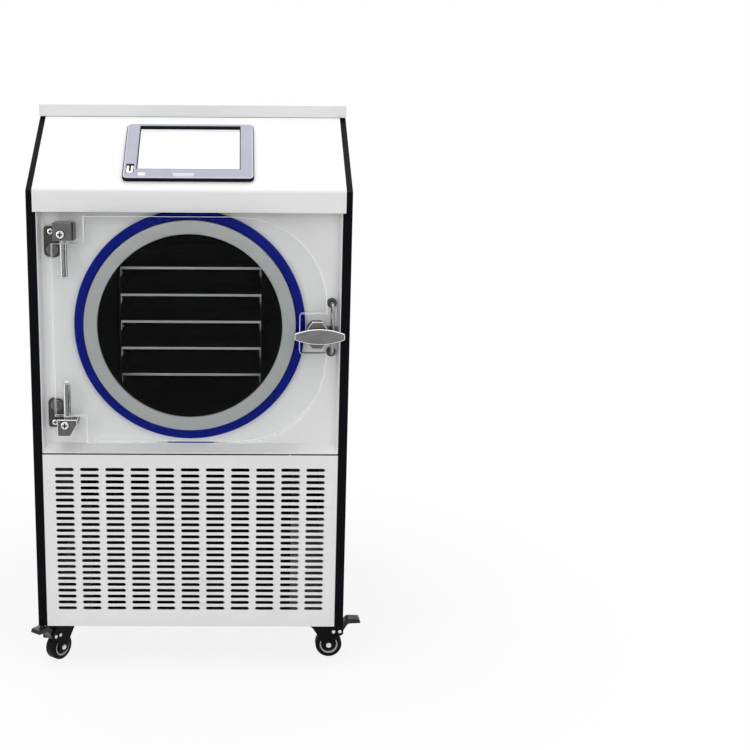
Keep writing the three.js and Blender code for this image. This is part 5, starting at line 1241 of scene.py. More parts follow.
@dataclass
class ControlPanel:
    """Touch screen on the sloped face, in a frame at the middle of the lit display's front."""

    frame: Frame
    width: float = 203.0
    corner: float = 8.0
    below: float = -79.0
    above: float = 65.0
    back: float = -1.7
    seam: float = 3.4
    front: float = 5.0
    face_inset: float = 1.3
    face_bevel: Point = (1.5, 0.7)
    opening: Point = (159.0, 111.0)
    liner: float = 0.9
    # painted shade: extra height of the dark liner above the display
    painted_shade_top: float = 1.6
    housing_inset: float = 6.0
    housing_back: float = -30.0
    display_seat: float = -3.3
    port: Four = (-90.0, -54.5, 12.4, 23.0)
    port_gap: float = 1.2
    port_bar: float = 5.5
    port_wall: Point = (3.3, 3.0)
    patch: Four = (-71.5, -68.5, 12.0, 9.0)
    recess: Four = (-7.5, -69.8, 37.0, 11.0)
    recess_taper: float = 3.0
    shallow: float = 0.6
    joint: float = 0.15
    port_corner: float = 1.2
    port_sunk: Point = (1.2, 0.25)
    insert_gaps: Point = (0.3, 0.7)
    insert_rise: float = 0.02
    insert_sunk: float = 0.2
    window_corner: float = 0.9
    patch_corner: float = 1.0
    recess_corner: float = 1.6
    housing_corner: float = 3.0

    def build(self) -> None:
        """Builds the bezel, its face plate and the display."""
        origin, normal = self.frame.facet("screen_display", Vector((0, -0.6, 0.8)))
        self.place = place(origin, RIGHT, normal.cross(RIGHT))
        self.frame.dress("screen_display", DISPLAY, Edge.FINE)
        self.build_skirt()
        self.build_face()
        self.build_port()
        self.build_inserts()

    def outline(self, inset: float) -> list[Point]:
        """Edge of the bezel, moved inwards."""
        middle = (0.0, (self.below + self.above) / 2)
        size = (self.width - 2 * inset, self.above - self.below - 2 * inset)
        return box_outline(*size, middle, self.corner - inset)

    def build_skirt(self) -> None:
        """Dark rear part of the bezel, with the liner round the display, painted shade on the recess's walls,
        and the housing behind it.
        """
        opening = box_outline(*self.opening)
        middle = (0.0, (self.below + self.above) / 2)
        inset = 2 * self.housing_inset
        size = (self.width - inset, self.above - self.below - inset)
        housing = box_outline(*size, middle, self.housing_corner)
        seat = (opening, self.back - self.display_seat)
        shape = Shape(self.place)
        shape.plate(self.outline(0), self.back, self.seam - self.joint, [opening])
        # dark liner: painted shade round the display
        liner_low = self.seam - self.joint + HAIRLINE
        shape.plate(self.liner_outline(0), liner_low, self.front - self.joint, [opening])
        shape.plate(housing, self.housing_back, self.back - HAIRLINE, (), [seat])
        shape.piece("bezel_skirt", BEZEL_SKIRT, "cabinet", Edge.FINE, ["screen_bezel"])

    def liner_outline(self, gap: float) -> list[Point]:
        """Outline of the dark liner round the display, or of the hole that leaves a gap round it. It reaches
        further up, for a wider band of painted shade above the display.
        """
        w, h = self.opening
        grow = 2 * self.liner + gap
        return box_outline(w + grow, h + grow + self.painted_shade_top, (0, self.painted_shade_top / 2))

    def port_hole(self) -> list[Point]:
        """Outline of the data port's opening."""
        x, y, w, h = self.port
        return box_outline(w, h, (x, y), self.port_corner)

    def recess_outline(self, inset: float) -> list[Point]:
        """Outline of the bare recess under the display, narrower at its foot."""
        x, y, w, h = self.recess
        half, height, taper = w / 2 - inset, h / 2 - inset, self.recess_taper
        corners = [(taper - half, -height), (half - taper, -height), (half, height), (-half, height)]
        return rounded([(x + u, y + v, self.recess_corner) for u, v in corners])

    def build_face(self) -> None:
        """Blue-grey face plate; its bevel and the recesses' walls are paler, a painted highlight."""
        x, y, w, h = self.patch
        slope_in, slope_down = self.face_bevel
        holes = [self.liner_outline(FIT), self.port_hole()]
        recesses = (box_outline(w, h, (x, y), self.patch_corner), self.recess_outline(0))
        shape = Shape(self.place)
        outer, inner = self.outline(self.face_inset), self.outline(self.face_inset + slope_in)
        foot, edge = shape.loop(outer, self.seam), shape.loop(outer, self.front - slope_down)
        top = shape.loop(inner, self.front)
        shape.wall(foot, edge)
        # bevel in the second finish: painted highlight
        shape.wall(edge, top, 1)
        pockets = [(recess, self.shallow) for recess in recesses]
        lower, upper = shape.openings(self.seam, self.front, holes, pockets, 1)
        shape.cap([foot, *lower])
        shape.cap([top, *upper])
        shape.piece("bezel_face", [BEZEL_PLASTIC, BEZEL_PALE_AND_EDGE_HIGHLIGHT], "cabinet", Edge.FINE)

    def build_port(self) -> None:
        """Data port: bright U-shaped shell under a dark bar."""
        x, y, w, h = self.port
        side, foot = self.port_wall
        half, top, bottom = w / 2 - self.port_gap, y + h / 2 - self.port_bar, y - h / 2 + self.port_gap
        left = [
            (x - half + side, bottom + foot, 0.6),
            (x - half + side, top, 0.6),
            (x - half, top, 0.8),
            (x - half, bottom, 2.0),
        ]
        right = [(2 * x - u, v, corner) for u, v, corner in reversed(left)]
        back, front = (self.front - sunk for sunk in self.port_sunk)
        shape = Shape(self.place).plate(rounded([*left[2:], *right, *left[:2]]), back, front)
        shape.piece("data_port_shell", BRIGHT_STEEL_AND_EDGE_HIGHLIGHT, "cabinet", Edge.FINE)

    def build_inserts(self) -> None:
        """Pale window and the pale bare plate in the recess."""
        x, y, w, h = self.patch
        low, high = self.front - self.shallow + self.insert_rise, self.front - self.insert_sunk
        around, beside = self.insert_gaps
        outline = box_outline(w - 2 * around, h - 2 * around, (x, y), self.window_corner)
        window = Shape(self.place).plate(outline, low, high)
        window.piece("pale_window", PALE_PATCH, "cabinet", Edge.FINE)
        plate = Shape(self.place).plate(self.recess_outline(beside), low, high)
        plate.piece("bare_plate", BEZEL_PALE_AND_EDGE_HIGHLIGHT, "cabinet", Edge.FINE)


# ---------------------------------------------------------------- chamber and door


@dataclass
class Chamber:
    """Vacuum chamber with its flange gasket, the ring round it, and the rack of shelves."""

    frame: Frame
    mouth: float = 145.0
    bore: float = 152.0
    shell: float = 156.0
    flange: float = 165.0
    lip: float = 8.0
    flange_depth: float = 12.0
    rear_plate: float = 6.0
    port_bore: float = 13.0
    gasket_bore: float = 144.0
    gasket_edge: float = 1.6
    trim: Point = (165.5, 180.5)
    trim_edges: Point = (1.2, 2.6)
    shelf_count: int = 5
    shelf_sheet: float = 4.0
    shelf_fold: float = 1.5
    screw: Point = (3.2, 1.2)
    screw_rise: float = 4.5
    screw_inset: float = 14.0

    def build(self) -> None:
        """Builds the chamber from the outside in."""
        self.build_shell()
        self.build_rings()
        for k in range(self.shelf_count):
            self.build_shelf(k)
        for side in ("left", "right"):
            # The rack's plates are near-black: painted shade.
            self.frame.dress(f"rack_{side}_plate", SHELF_SHADE, Edge.FINE, 1)
        self.build_rack_screws()

    def build_shell(self) -> None:
        """Turned shell, bright outside and near-black inside as painted shade."""
        box = Box.of("chamber_shell")
        depth = box.size.y
        floor = -depth + self.rear_plate
        profile = [
            (self.mouth, 0.0),
            (self.flange, 0.0),
            (self.flange, -self.flange_depth),
            (self.shell, -self.flange_depth),
            (self.shell, -depth),
            (self.port_bore, -depth),
            (self.port_bore, floor),
            (self.bore, floor),
            (self.bore, -self.lip),
            (self.mouth, -self.lip),
        ]
        shape = Shape(box.front).lathe(profile, finishes=[0, 0, 0, 0, 0, 1, 1, 1, 1, 1])
        shape.piece("chamber_body", [STEEL, CHAMBER_SHADE], "cabinet", Edge.FINE, ["chamber_shell"], 1)

    def build_rings(self) -> None:
        """Silicone gasket on the flange and the coloured ring round it."""
        box = Box.of("door_gasket")
        middle = ((self.flange + self.gasket_bore) / 2, -box.size.y / 2)
        section = box_outline(self.flange - self.gasket_bore, box.size.y, middle, self.gasket_edge)
        shape = Shape(box.front).lathe(section)
        shape.piece("flange_gasket", GASKET, "cabinet", replaces=["door_gasket"])
        box = Box.of("chamber_trim_ring")
        (inner, outer), (near, far) = self.trim, self.trim_edges
        section = rounded([(inner, 0, near), (inner, -box.size.y), (outer, -box.size.y), (outer, 0, far)])
        shape = Shape(box.front).lathe(section)
        shape.piece("ring_round_flange", TRIM_BLUE, "cabinet", replaces=["chamber_trim_ring"])

    def build_shelf(self, index: int) -> None:
        """Folded shelf, near-black as painted shade, with a bright front edge.

        Args:
            index: Which shelf, from the top.
        """
        node = f"shelf_{index + 1}"
        box = Box.of(node)
        sheet = self.shelf_fold
        left, right, top = box.low.x, box.high.x, box.high.z
        outline = [
            (left, box.low.z),
            (left + sheet, box.low.z),
            (left + sheet, top - self.shelf_sheet),
            (right - sheet, top - self.shelf_sheet),
            (right - sheet, box.low.z),
            (right, box.low.z),
            (right, top),
            (left, top),
        ]
        shape = Shape(Facing.FRONT.at(0, box.high.y, 0))
        shape.plate(outline, 0, box.size.y)
        front = max(shape.mesh.faces, key=lambda f: -f.calc_center_median().y)
        front.material_index = 1
        shape.piece(f"rack_shelf_{index + 1}", [SHELF_SHADE, SHELF_EDGE], "cabinet", Edge.FINE, [node], 1)

    def build_rack_screws(self) -> None:
        """Screws that hold the shelves' flanges, on the inner side of each flange."""
        screws = Shape()
        for k in range(self.shelf_count):
            box = Box.of(f"shelf_{k + 1}")
            left, right = box.low.x + self.shelf_fold, box.high.x - self.shelf_fold
            z = box.low.z + self.screw_rise
            for y in (box.low.y + self.screw_inset, box.high.y - self.screw_inset):
                screws.within(Facing.RIGHT_SIDE.at(left, y, z)).screw_head(*self.screw)
                screws.within(Facing.LEFT_SIDE.at(right, y, z)).screw_head(*self.screw)
        # black second finish: painted shade in the cross recesses
        screws.piece("rack_screws", [STEEL_TURNED, BLACK_PLASTIC], "cabinet")


@dataclass
class Hinge:
    """One of the door's two pin hinges. Its frame lies on the pin's axis at the door's notch."""

    name: str
    frame: Frame
    upper: bool
    arm: Four = (-15.4, 16.0, 4.8, 31.8)
    arm_front: float = 11.0
    wall: float = -25.7
    plate_face: float = -22.2
    plate_box: Four = (-33.6, -8.2, -23.0, 24.4)
    lower_cut: Point = (11.0, 19.0)
    boss_place: Point = (-19.9, -12.2)
    boss_size: Point = (9.0, 2.5)
    plate_screw: Point = (-23.2, 16.3)
    arm_screw: Point = (-3.3, 14.0)
    pin_radius: float = 5.5
    pin_reach: float = 55.5
    pin_socket: float = 14.0
    pin_tip: float = 4.0
    pin_point: float = 0.3
    boss_slot: Three = (1.8, 1.3, 1.2)
    # Screws: radius, height, and the width of the dark ring painted round the head as its shadow.
    small_screw: Three = (5.0, 2.5, 0.9)
    large_screw: Three = (6.5, 2.5, 0.9)

    def build(self) -> None:
        """Builds the bracket, its screws and the pointed pin."""
        axis = self.frame.joint_place("door_hinge")
        box = Box.of(f"hinge_bracket_{self.name}")
        edge = box.high.z - self.arm[3] if self.upper else box.low.z + self.arm[3]
        face = Facing.FRONT.at(axis.x, axis.y, edge)
        down = place(Vector((axis.x, axis.y, edge)), RIGHT, -BACK)
        if not self.upper:
            face, down = mirrored(face, BACK), mirrored(down, UP)
        self.build_bracket(face, down)
        self.build_screws(face)
        tip = self.pin_radius * self.pin_point
        reach, end = -self.pin_reach, self.arm[2] + self.pin_socket
        profile = [(0, reach), (tip, reach), (self.pin_radius, reach + self.pin_tip)]
        profile += [(self.pin_radius, end), (0, end)]
        # The pin's pointed tip is white with a painted glow; its shank has painted highlights on its flanks.
        pin = Shape(mirrored(down, UP)).lathe(profile, SMALL_STEPS, [1, 1, 0, 0])
        node = f"hinge_pin_{self.name}"
        pin.piece(f"hinge_rod_{self.name}", [PIN_STEEL_PAINTED_FLANKS, ACRYLIC_EDGE_GLOW], "cabinet", Edge.FINE, [node])

    def build_bracket(self, face: Matrix, down: Matrix) -> None:
        """Solid arm and the base plate that is screwed to the fascia.

        Args:
            face: Frame that faces the front.
            down: Frame whose w axis points along the pin into the door.
        """
        left, right, near, far = self.arm
        back, front = self.plate_face, self.arm_front
        arm = Shape(down)
        if self.upper:
            section = rounded([(left, back), (right, back), (right, front, 9), (left, front, 2)])
            socket = (circle(self.pin_radius + FIT), self.pin_socket + FIT)
            arm.plate(section, -far, -near, (), [socket])
        else:
            across, up = self.lower_cut
            cut = [(right, far - up), (right - across, far)]
            outline = rounded([(left, near), (right, near), *cut, (left, far, 2)])
            arm.within(face).plate(outline, back, front)
        node = f"hinge_bracket_{self.name}"
        # The arm's rounded edges carry a painted highlight.
        arm.piece(f"hinge_arm_{self.name}", STEEL_UPRIGHT, "cabinet", Edge.FOLDED, [node], 3, BRIGHT_STEEL_AND_EDGE_HIGHLIGHT)
        x0, x1, z0, z1 = self.plate_box
        base = rounded([(x0, z0, 8), (x1, z0, 8), (x1, z1, 2), (x0, z1, 4)])
        plate = Shape(face).plate(base, self.wall, self.plate_face)
        plate.piece(f"hinge_plate_{self.name}", PLATE_STEEL, "cabinet", Edge.SHEET, segments=3)

    def build_screws(self, face: Matrix) -> None:
        """Boss with its slot, the plate's screw and the large screw in the arm."""
        (radius, height), (width, reach, depth) = self.boss_size, self.boss_slot
        slot = (box_outline(width, reach * radius), depth)
        boss = Shape().beside(face, *self.boss_place, self.plate_face)
        boss.plate(circle(radius), 0, height, (), [slot])
        name = f"hinge_boss_{self.name}"
        # The boss's rounded edges carry a painted highlight.
        boss.piece(name, STEEL_UPRIGHT, "cabinet", Edge.FOLDED, segments=3, rim=BRIGHT_STEEL_AND_EDGE_HIGHLIGHT)
        screws = Shape()
        screws.beside(face, *self.plate_screw, self.plate_face).screw_head(*self.small_screw)
        screws.beside(face, *self.arm_screw, self.arm_front).screw_head(*self.large_screw)
        # Second finish: painted shade in the recesses and painted shadow rings round the heads.
        screws.piece(f"hinge_screws_{self.name}", [POLISHED, BLACK_PLASTIC], "cabinet")


@dataclass
class Door:
    """Clear slab with its hinges and latch."""

    frame: Frame
    lever_length: float = 77.0
    lever_height: float = 24.0
    lever_end: float = 9.0
    lever_thickness: float = 7.0
    hub: float = 8.0
    spindle: float = 4.0
    rod: float = 3.25
    rod_bend: float = 9.0
    rod_root: float = 1.0
    boss: Point = (7.8, 4.0)
    boss_step: float = 2.2
    lever_steps: int = 16
    hub_gap: float = 0.2

    def build(self) -> None:
        """Builds the door and what holds it."""
        # The door's rounded edges are white with a painted glow.
        self.frame.dress("door_panel", ACRYLIC, Edge.FOLDED, 1, ACRYLIC_EDGE_GLOW)
        # The latch block's rounded edges carry a painted highlight.
        self.frame.dress("latch_block", STEEL_UPRIGHT, Edge.FOLDED, 3, BRIGHT_STEEL_AND_EDGE_HIGHLIGHT)
        self.frame.dress("latch_tongue", STEEL, Edge.SHEET)
        for name, upper in (("top", True), ("bottom", False)):
            Hinge(name, self.frame, upper).build()
        self.build_lever()
        self.build_staple()

    def build_lever(self) -> None:
        """Lens-shaped lever with its hub and spindle."""
        box = Box.of("latch_handle")
        block = Box.of("latch_block")
        axis = self.frame.joint_place("latch_turn")
        half = self.lever_length / 2
        bulge = (self.lever_height - self.lever_end) / 2

        def edge(t: float) -> float:
            """Half height at t, from -1 to 1 along the lever."""
            return self.lever_end / 2 + bulge * (1 - t * t)

        steps = [k / self.lever_steps for k in range(-self.lever_steps, self.lever_steps + 1)]
        outline = [(half * t, -edge(t)) for t in steps] + [(-half * t, edge(t)) for t in steps]
        back = box.low.y + self.lever_thickness
        face = Facing.FRONT.at(axis.x, back, axis.z)
        shape = Shape(face).plate(outline, 0, self.lever_thickness)
        # The lever's rounded edges carry a painted highlight.
        shape.piece("latch_lever", STEEL, "latch", Edge.FOLDED, ["latch_handle"], 3, BRIGHT_STEEL_AND_EDGE_HIGHLIGHT)
        shape = Shape(face).rod(self.hub, 0, back - block.low.y + FIT)
        shape.rod(self.spindle, back - box.high.y, -self.hub_gap)
        shape.piece("latch_spindle", STEEL_TURNED, "latch", Edge.FINE)

    def build_staple(self) -> None:
        """Bent rod on two stepped bosses."""
        box = Box.of("latch_staple")
        radius, height = self.boss
        x, wall, front = box.centre.x, box.high.y, box.low.y + self.rod
        top, bottom = box.high.z - radius, box.low.z + radius
        root = wall - self.rod_root
        corners = [(root, top), (front, top), (front, bottom), (root, bottom)]
        path = rounded_path([Vector((x, y, z)) for y, z in corners], self.rod_bend)
        shape = Shape().sweep(path, self.rod)
        shape.piece("staple_rod", STAPLE_STEEL, "cabinet", replaces=["latch_staple"])
        bosses = Shape()
        step, ledge = radius - self.boss_step, height / 2
        profile = [(0, 0), (radius, 0), (radius, ledge), (step, ledge), (step, height), (0, height)]
        for z in (top, bottom):
            bosses.within(Facing.FRONT.at(x, wall, z)).lathe(profile, SMALL_STEPS)
        bosses.piece("staple_bosses", PLATE_STEEL, "cabinet", Edge.FINE, rim=DARK_STEEL)


# ---------------------------------------------------------------- rear fittings


@dataclass
class RearFittings:
    """Vacuum port, vent, mains switch and the two mains sockets."""

    frame: Frame
    port: Four = (13.0, 15.0, 20.0, 3.0)
    port_edge: Point = (1.0, 0.6)
    port_seat: Point = (1.6, 1.4)
    rocker_section: Four = (11.2, 6.0, 4.0, 3.0)
    rocker_edge: float = 0.8
    rocker_dip: float = 9.0
    rocker_taper: float = 2.0
    tilt: float = 11.0
    mark_place: float = 6.2
    mark_faces: Point = (4.6, 5.35)
    bar_mark: Point = (0.9, 4.2)
    ring_mark: Point = (2.1, 1.35)
    screw: Point = (3.1, 1.5)
    screw_inset: float = 4.0
    screw_sunk: float = 1.0
    pin_places: tuple[Point, ...] = ((-7.0, 4.0), (7.0, 4.0), (0.0, 8.5))
    pin_size: Point = (2.4, 4.4)
    pin_drop: float = 0.2
    pin_reach: float = 10.4
    cavity: float = 16.0
    steps: int = 64

    def build(self) -> None:
        """Builds the fittings one by one."""
        self.build_port()
        self.build_vent()
        self.build_switch()
        self.build_sockets()

    def build_port(self) -> None:
        """Vacuum port with its flange."""
        box = Box.of("vacuum_port")
        bore, tube, flange, rim = self.port
        (edge, slope), (seat, depth) = self.port_edge, self.port_seat
        profile = [
            (bore, -box.size.y),
            (tube, -box.size.y),
            (tube, -rim - (flange - tube)),
            (flange - edge, -rim - slope),
            (flange, -rim),
            (flange, 0),
            (bore + seat, 0),
            (bore + seat, -depth),
            (bore, -depth),
        ]
        # The bore's wall is near-black: painted shade.
        shape = Shape(box.rear).lathe(profile, self.steps, [0, 0, 0, 0, 0, 0, 0, 0, 1])
        shape.piece("vacuum_flange", [STEEL_TURNED, CHAMBER_SHADE], "cabinet", Edge.FINE, ["vacuum_port"])

    def build_vent(self) -> None:
        """Round vent fitting with a stepped flange."""
        box = Box.of("vent_fitting")
        flange = box.size.x / 2
        base = 8.5 - box.size.y
        profile = [
            (0, base),
            (9, base),
            (9, -8.2),
            (flange, -8.2),
            (flange, -6.4),
            (flange - 3.6, -4.6),
            (flange - 5.4, -0.6),
            (flange - 6.2, 0),
            (10.4, 0),
            (10, -3.5),
            (8.4, -3.5),
            (8, -1.4),
            (2.4, -1),
            (2.0, -3),
            (0, -3),
        ]
        shape = Shape(box.rear).lathe(profile, self.steps, [0, 0, 0, 0, 0, 1, 1, 1, 1, 2, 2, 3, 2, 2])
        finishes = [PALE_PATCH, POLISHED, DARK_STEEL, STEEL_TURNED]
        shape.piece("vent_body", finishes, "cabinet", Edge.FINE, ["vent_fitting"])

    def build_switch(self) -> None:
        """Rocker with its two marks, in a black bezel."""
        self.frame.dress("switch_bezel", BLACK_PLASTIC, Edge.SHEET)
        axis = self.frame.joint_place("switch_rock")
        box = Box.of("switch_rocker")
        half, ends, middle, foot = self.rocker_section
        edge, narrow = self.rocker_edge, half - self.rocker_taper
        key = [(ends, -half, edge), (middle, 0, self.rocker_dip), (ends, half, edge)]
        across = Matrix.Translation(axis) @ Matrix.Rotation(-math.radians(self.tilt), 4, "X")
        shape = Shape(across @ place(Vector(), BACK, UP))
        section = rounded([*key, (-foot, narrow), (-foot, -narrow)])
        shape.plate(section, -box.size.x / 2, box.size.x / 2)
        shape.piece("rocker_key", RED_PLASTIC, "switch", Edge.SHEET, ["switch_rocker"], 3)
        marks = Shape(across @ Facing.REAR.at(0, 0, 0))
        marks.plate(box_outline(*self.bar_mark, (0, self.mark_place), 0.3), *self.mark_faces)
        outer, inner = (circle(radius, SMALL_STEPS, (0, -self.mark_place)) for radius in self.ring_mark)
        marks.plate(outer, *self.mark_faces, [inner])
        marks.piece("rocker_marks", MARK_WHITE, "switch")

    def build_sockets(self) -> None:
        """Mains inlet and outlet with their screws and the inlet's pins."""
        for node in ("power_inlet", "power_outlet", "fuse_drawer"):
            self.frame.dress(node, BLACK_PLASTIC, Edge.SHEET)
        screws = Shape()
        for node in ("power_inlet", "power_outlet"):
            box = Box.of(node)
            reach = box.size.x / 2 - self.screw_inset
            for u in (reach, -reach):
                screws.beside(box.rear, u, 0, -self.screw_sunk).screw_head(*self.screw)
        # black second finish: painted shade in the cross recesses
        screws.piece("socket_screws", [POLISHED, BLACK_PLASTIC], "cabinet")
        pins = Shape().beside(Box.of("power_inlet").rear, 0, 0, -self.cavity)
        for x, z in self.pin_places:
            pin = box_outline(*self.pin_size, (x, z - self.pin_drop), 0.4)
            pins.plate(pin, HAIRLINE, self.pin_reach)
        pins.piece("inlet_pins", POLISHED, "cabinet", Edge.FINE)


# ---------------------------------------------------------------- casters


@dataclass
class Caster:
    """Swivel caster. Its side frame has u along the trail, v up and w along the axle."""

    name: str
    frame: Frame
    braked: bool
    crown: float = 64.7
    radius: float = 22.0
    width: float = 18.4
    trail: float = 18.0
    cheek_inner: float = 10.0
    cheek_outer: float = 12.0
    hub: float = 6.0
    nose: Point = (14.0, 22.0)
    wheel_steps: int = 80
    raceway_steps: int = 48
    plate_sheet: float = 2.5
    plate_corner: float = 5.0
    plate_bolt: Point = (4.2, 18.5)
    bolt_faces: Point = (-4.6, -2.6)
    axle_bolt: float = 3.4
    bolt_washer: Point = (4.4, 0.7)
    nut: Point = (6.8, 2.0)
    rivet: float = 3.0
    rivet_reach: Point = (1.4, 1.6)
    rivet_ease: float = 0.5
    rivet_steps: int = 24
    brake_rivet: Point = (-10.5, -0.5)
    pad_height: float = 68.5
    pad_tip: float = 72.0
    pad_ribs: int = 5
    rib_pitch: float = 3.4
    rib: Point = (1.4, 2.0)
    pedal_gap: float = 0.5
    pedal_bore: float = 2.9

    def build(self) -> None:
        """Builds the plate, fork, wheel and pedal."""
        swivel = self.frame.joint_place(f"caster_swivel_{self.name}")
        axle = self.frame.joint_place(f"caster_wheel_spin_{self.name}")
        along = (axle - swivel).to_2d().to_3d().normalized()
        self.side = place(Vector((swivel.x, swivel.y, 0)), along, UP)
        self.build_plate()
        self.build_wheel()
        self.pivot = Vector((self.trail + self.nose[0], self.radius + self.nose[1], 0))
        if self.braked:
            pivot = self.frame.joint_place(f"brake_pedal_press_{self.name}")
            self.pivot = self.side.inverted() @ pivot
            self.build_pedal()
        self.build_fork()

    def build_plate(self) -> None:
        """Square top plate with its raceway and four bolts."""
        box = Box.of(f"caster_plate_{self.name}")
        shape = Shape(Facing.TOP.at(box.centre.x, box.centre.y, box.high.z))
        shape.plate(box_outline(box.size.x, box.size.y, radius=self.plate_corner), -self.plate_sheet, 0)
        shape.lathe([(0, -2.6), (18, -2.6), (18, -3.6), (16.4, -4.7), (0, -4.7)], self.raceway_steps)
        radius, reach = self.plate_bolt
        for u, v in ((-reach, -reach), (-reach, reach), (reach, -reach), (reach, reach)):
            shape.plate(circle(radius, 6, (u, v)), *self.bolt_faces)
        node = f"caster_plate_{self.name}"
        shape.piece(f"caster_top_{self.name}", ZINC, "cabinet", Edge.FINE, [node])

    def build_wheel(self) -> None:
        """Wheel with a tread, a pale rim and a sunk web."""
        h, r = self.width / 2, self.radius
        half = [
            (3.8, h),
            (7.0, h),
            (7.8, h - 2.6),
            (12.4, h - 2.6),
            (13.0, h - 0.5),
            (14.6, h - 0.5),
            (15.0, h),
            (19.6, h),
            (21.3, h - 0.8),
            (r, h - 2.6),
        ]
        profile = half + [(p, -w) for p, w in reversed(half)]
        finishes = [2, 2, 2, 1, 1, 1, 0, 0, 0, 0, 0, 0, 0, 1, 1, 1, 2, 2, 2, 2]
        shape = Shape().beside(self.side, self.trail, r, 0).lathe(profile, self.wheel_steps, finishes)
        looks, name = [TYRE, RIM_GREY, BLACK_PLASTIC], f"wheel_{self.name}"
        shape.piece(name, looks, name, replaces=[f"caster_{name}"])

    def build_fork(self) -> None:
        """Pressed fork: two cheeks under a roof."""
        trail, r, crown = self.trail, self.radius, self.crown
        nose = self.pivot.x + self.hub if self.braked else self.pivot.x
        cheek = rounded(
            [
                (-24, crown, 2),
                (-24, crown - 4, 2),
                (-10, crown - 12, 8),
                (trail - 14, r + 10, 6),
                (trail - 9, r - 9, 9),
                (trail + 9, r - 9, 9),
                (trail + 12, r + 14, 4),
                (nose, self.pivot.y - self.hub, 4),
                (nose, self.pivot.y + self.hub, 4),
                (trail + 12, crown, 2),
            ]
        )
        inner, outer = self.cheek_inner, self.cheek_outer
        shape = Shape(self.side).plate(cheek, inner, outer)
        shape.plate(cheek, -outer, -inner)
        along, _, axle = self.side.to_3x3().col
        roof = box_outline(trail + 36, 2 * outer, ((trail - 12) / 2, 0), 2)
        shape.within(place(self.side.translation, along, -axle)).plate(roof, crown - 2, crown)
        name = f"fork_{self.name}"
        shape.piece(name, BLACK_STEEL, name, Edge.SHEET, [f"caster_{name}"])
        self.build_bolts()

    def build_bolts(self) -> None:
        """The axle's bolt with its nuts, and a brake's pivot pin and rivet."""
        outer = self.cheek_outer
        axle = self.side @ Matrix.Translation((self.trail, self.radius, 0))
        bolts = Shape(axle).rod(self.axle_bolt, -outer - 1, outer + 1)
        (washer, sheet), (across, height) = self.bolt_washer, self.nut
        for flip in (Matrix.Identity(4), Matrix.Rotation(math.pi, 4, "Y")):
            bolts.beside(axle @ flip, 0, 0, outer).rod(washer, HAIRLINE, sheet, SMALL_STEPS, 0.2)
            bolts.plate(hexagon(across), sheet, height)
        if self.braked:
            short, long = self.rivet_reach
            bolts.beside(self.side, *self.pivot)
            bolts.rod(self.rivet, -outer - long, outer + long, self.rivet_steps, self.rivet_ease)
            u, v = self.brake_rivet
            bolts.beside(self.side, *(self.pivot + Vector((u, v, 0))))
            for low, high in ((outer + HAIRLINE, outer + short), (-outer - short, -outer - HAIRLINE)):
                bolts.rod(self.rivet, low, high, self.rivet_steps, self.rivet_ease)
        bolts.piece(f"fork_bolts_{self.name}", POLISHED, f"fork_{self.name}", Edge.FINE)

    def build_pedal(self) -> None:
        """Brake pedal: hub, shoe towards the wheel and a ribbed foot pad."""
        half = self.cheek_inner - self.pedal_gap
        pad = self.pad_height - self.pivot.y
        tip = self.pad_tip - self.pivot.x
        lever = rounded(
            [
                (2, 1 - self.hub),
                (self.hub, 0, 2),
                (14, pad - 9, 5),
                (tip, pad - 8, 2),
                (tip - 4, pad - 1.2, 2),
                (12, pad - 0.6, 6),
                (-3, self.hub - 1),
            ]
        )
        shape = Shape().beside(self.side, *self.pivot).plate(lever, -half, half)
        bore, hub = self.pedal_bore, self.hub
        shape.lathe([(bore, -half), (hub, -half), (hub, half), (bore, half)], SMALL_STEPS)
        for k in range(self.pad_ribs):
            u = tip - 8 - self.rib_pitch * k
            shape.plate(box_outline(*self.rib, (u, pad - 1.6), 0.4), -half + 1, half - 1)
        name = f"brake_pedal_{self.name}"
        shape.piece(f"foot_lever_{self.name}", PEDAL_PLASTIC, f"pedal_{self.name}", Edge.SHEET, [name])


# ---------------------------------------------------------------- inside


@dataclass
class Machinery:
    """What the slots show a little of: condenser, fan, compressor, coil and electrics."""

    frame: Frame

    def build(self) -> None:
        """Dresses the parts inside the cabinet."""
        finishes = {
            "evaporator_coil": COPPER,
            "insulation_jacket": FOAM,
            "chamber_cradle": ZINC_DARK,
            "suction_line": COPPER,
            "compressor": BLACK_STEEL,
            # near-black fins: painted shade behind the slots
            "condenser_radiator": FINS_PAINTED_SHADE,
            "fan_shroud": ZINC_DARK,
            "fan_rotor": BLACK_PLASTIC,
            "control_box": ZINC_DARK,
        }
        for node, finish in finishes.items():
            self.frame.dress(node, finish, Edge.FINE, 1)


# ---------------------------------------------------------------- studio


@dataclass
class Lamp:
    """Soft rectangular lamp that looks at a point."""

    name: str
    position: Vector
    target: Vector
    size: Point
    power: float

    def build(self) -> None:
        """Hangs the lamp."""
        data = bpy.data.lights.new(self.name, "AREA")
        data.shape = "RECTANGLE"
        data.size, data.size_y = self.size
        data.energy = self.power
        lamp = bpy.data.objects.new(self.name, data)
        lamp.location = self.position
        lamp.rotation_euler = (self.target - self.position).to_track_quat("-Z", "Y").to_euler()
        bpy.context.scene.collection.objects.link(lamp)


AIM = Vector((0, 0, 0.45))
LAMPS = (
    Lamp("overhead", Vector((0.2, -0.3, 3.0)), Vector((0, 0, 0)), (3.0, 3.0), 47),
    Lamp("strip_above", Vector((-0.3, -1.9, 2.5)), AIM, (1.8, 0.25), 4),
    Lamp("strip_left", Vector((-1.9, -2.3, 0.9)), AIM, (0.25, 1.8), 5),
    Lamp("front_right", Vector((1.9, -2.9, 1.7)), AIM, (2.0, 2.0), 11.3),
    Lamp("front_left", Vector((-2.3, -2.5, 1.6)), AIM, (2.0, 2.0), 7.8),
    Lamp("rear", Vector((-1.2, 3.0, 2.0)), AIM, (2.4, 2.0), 33),
)


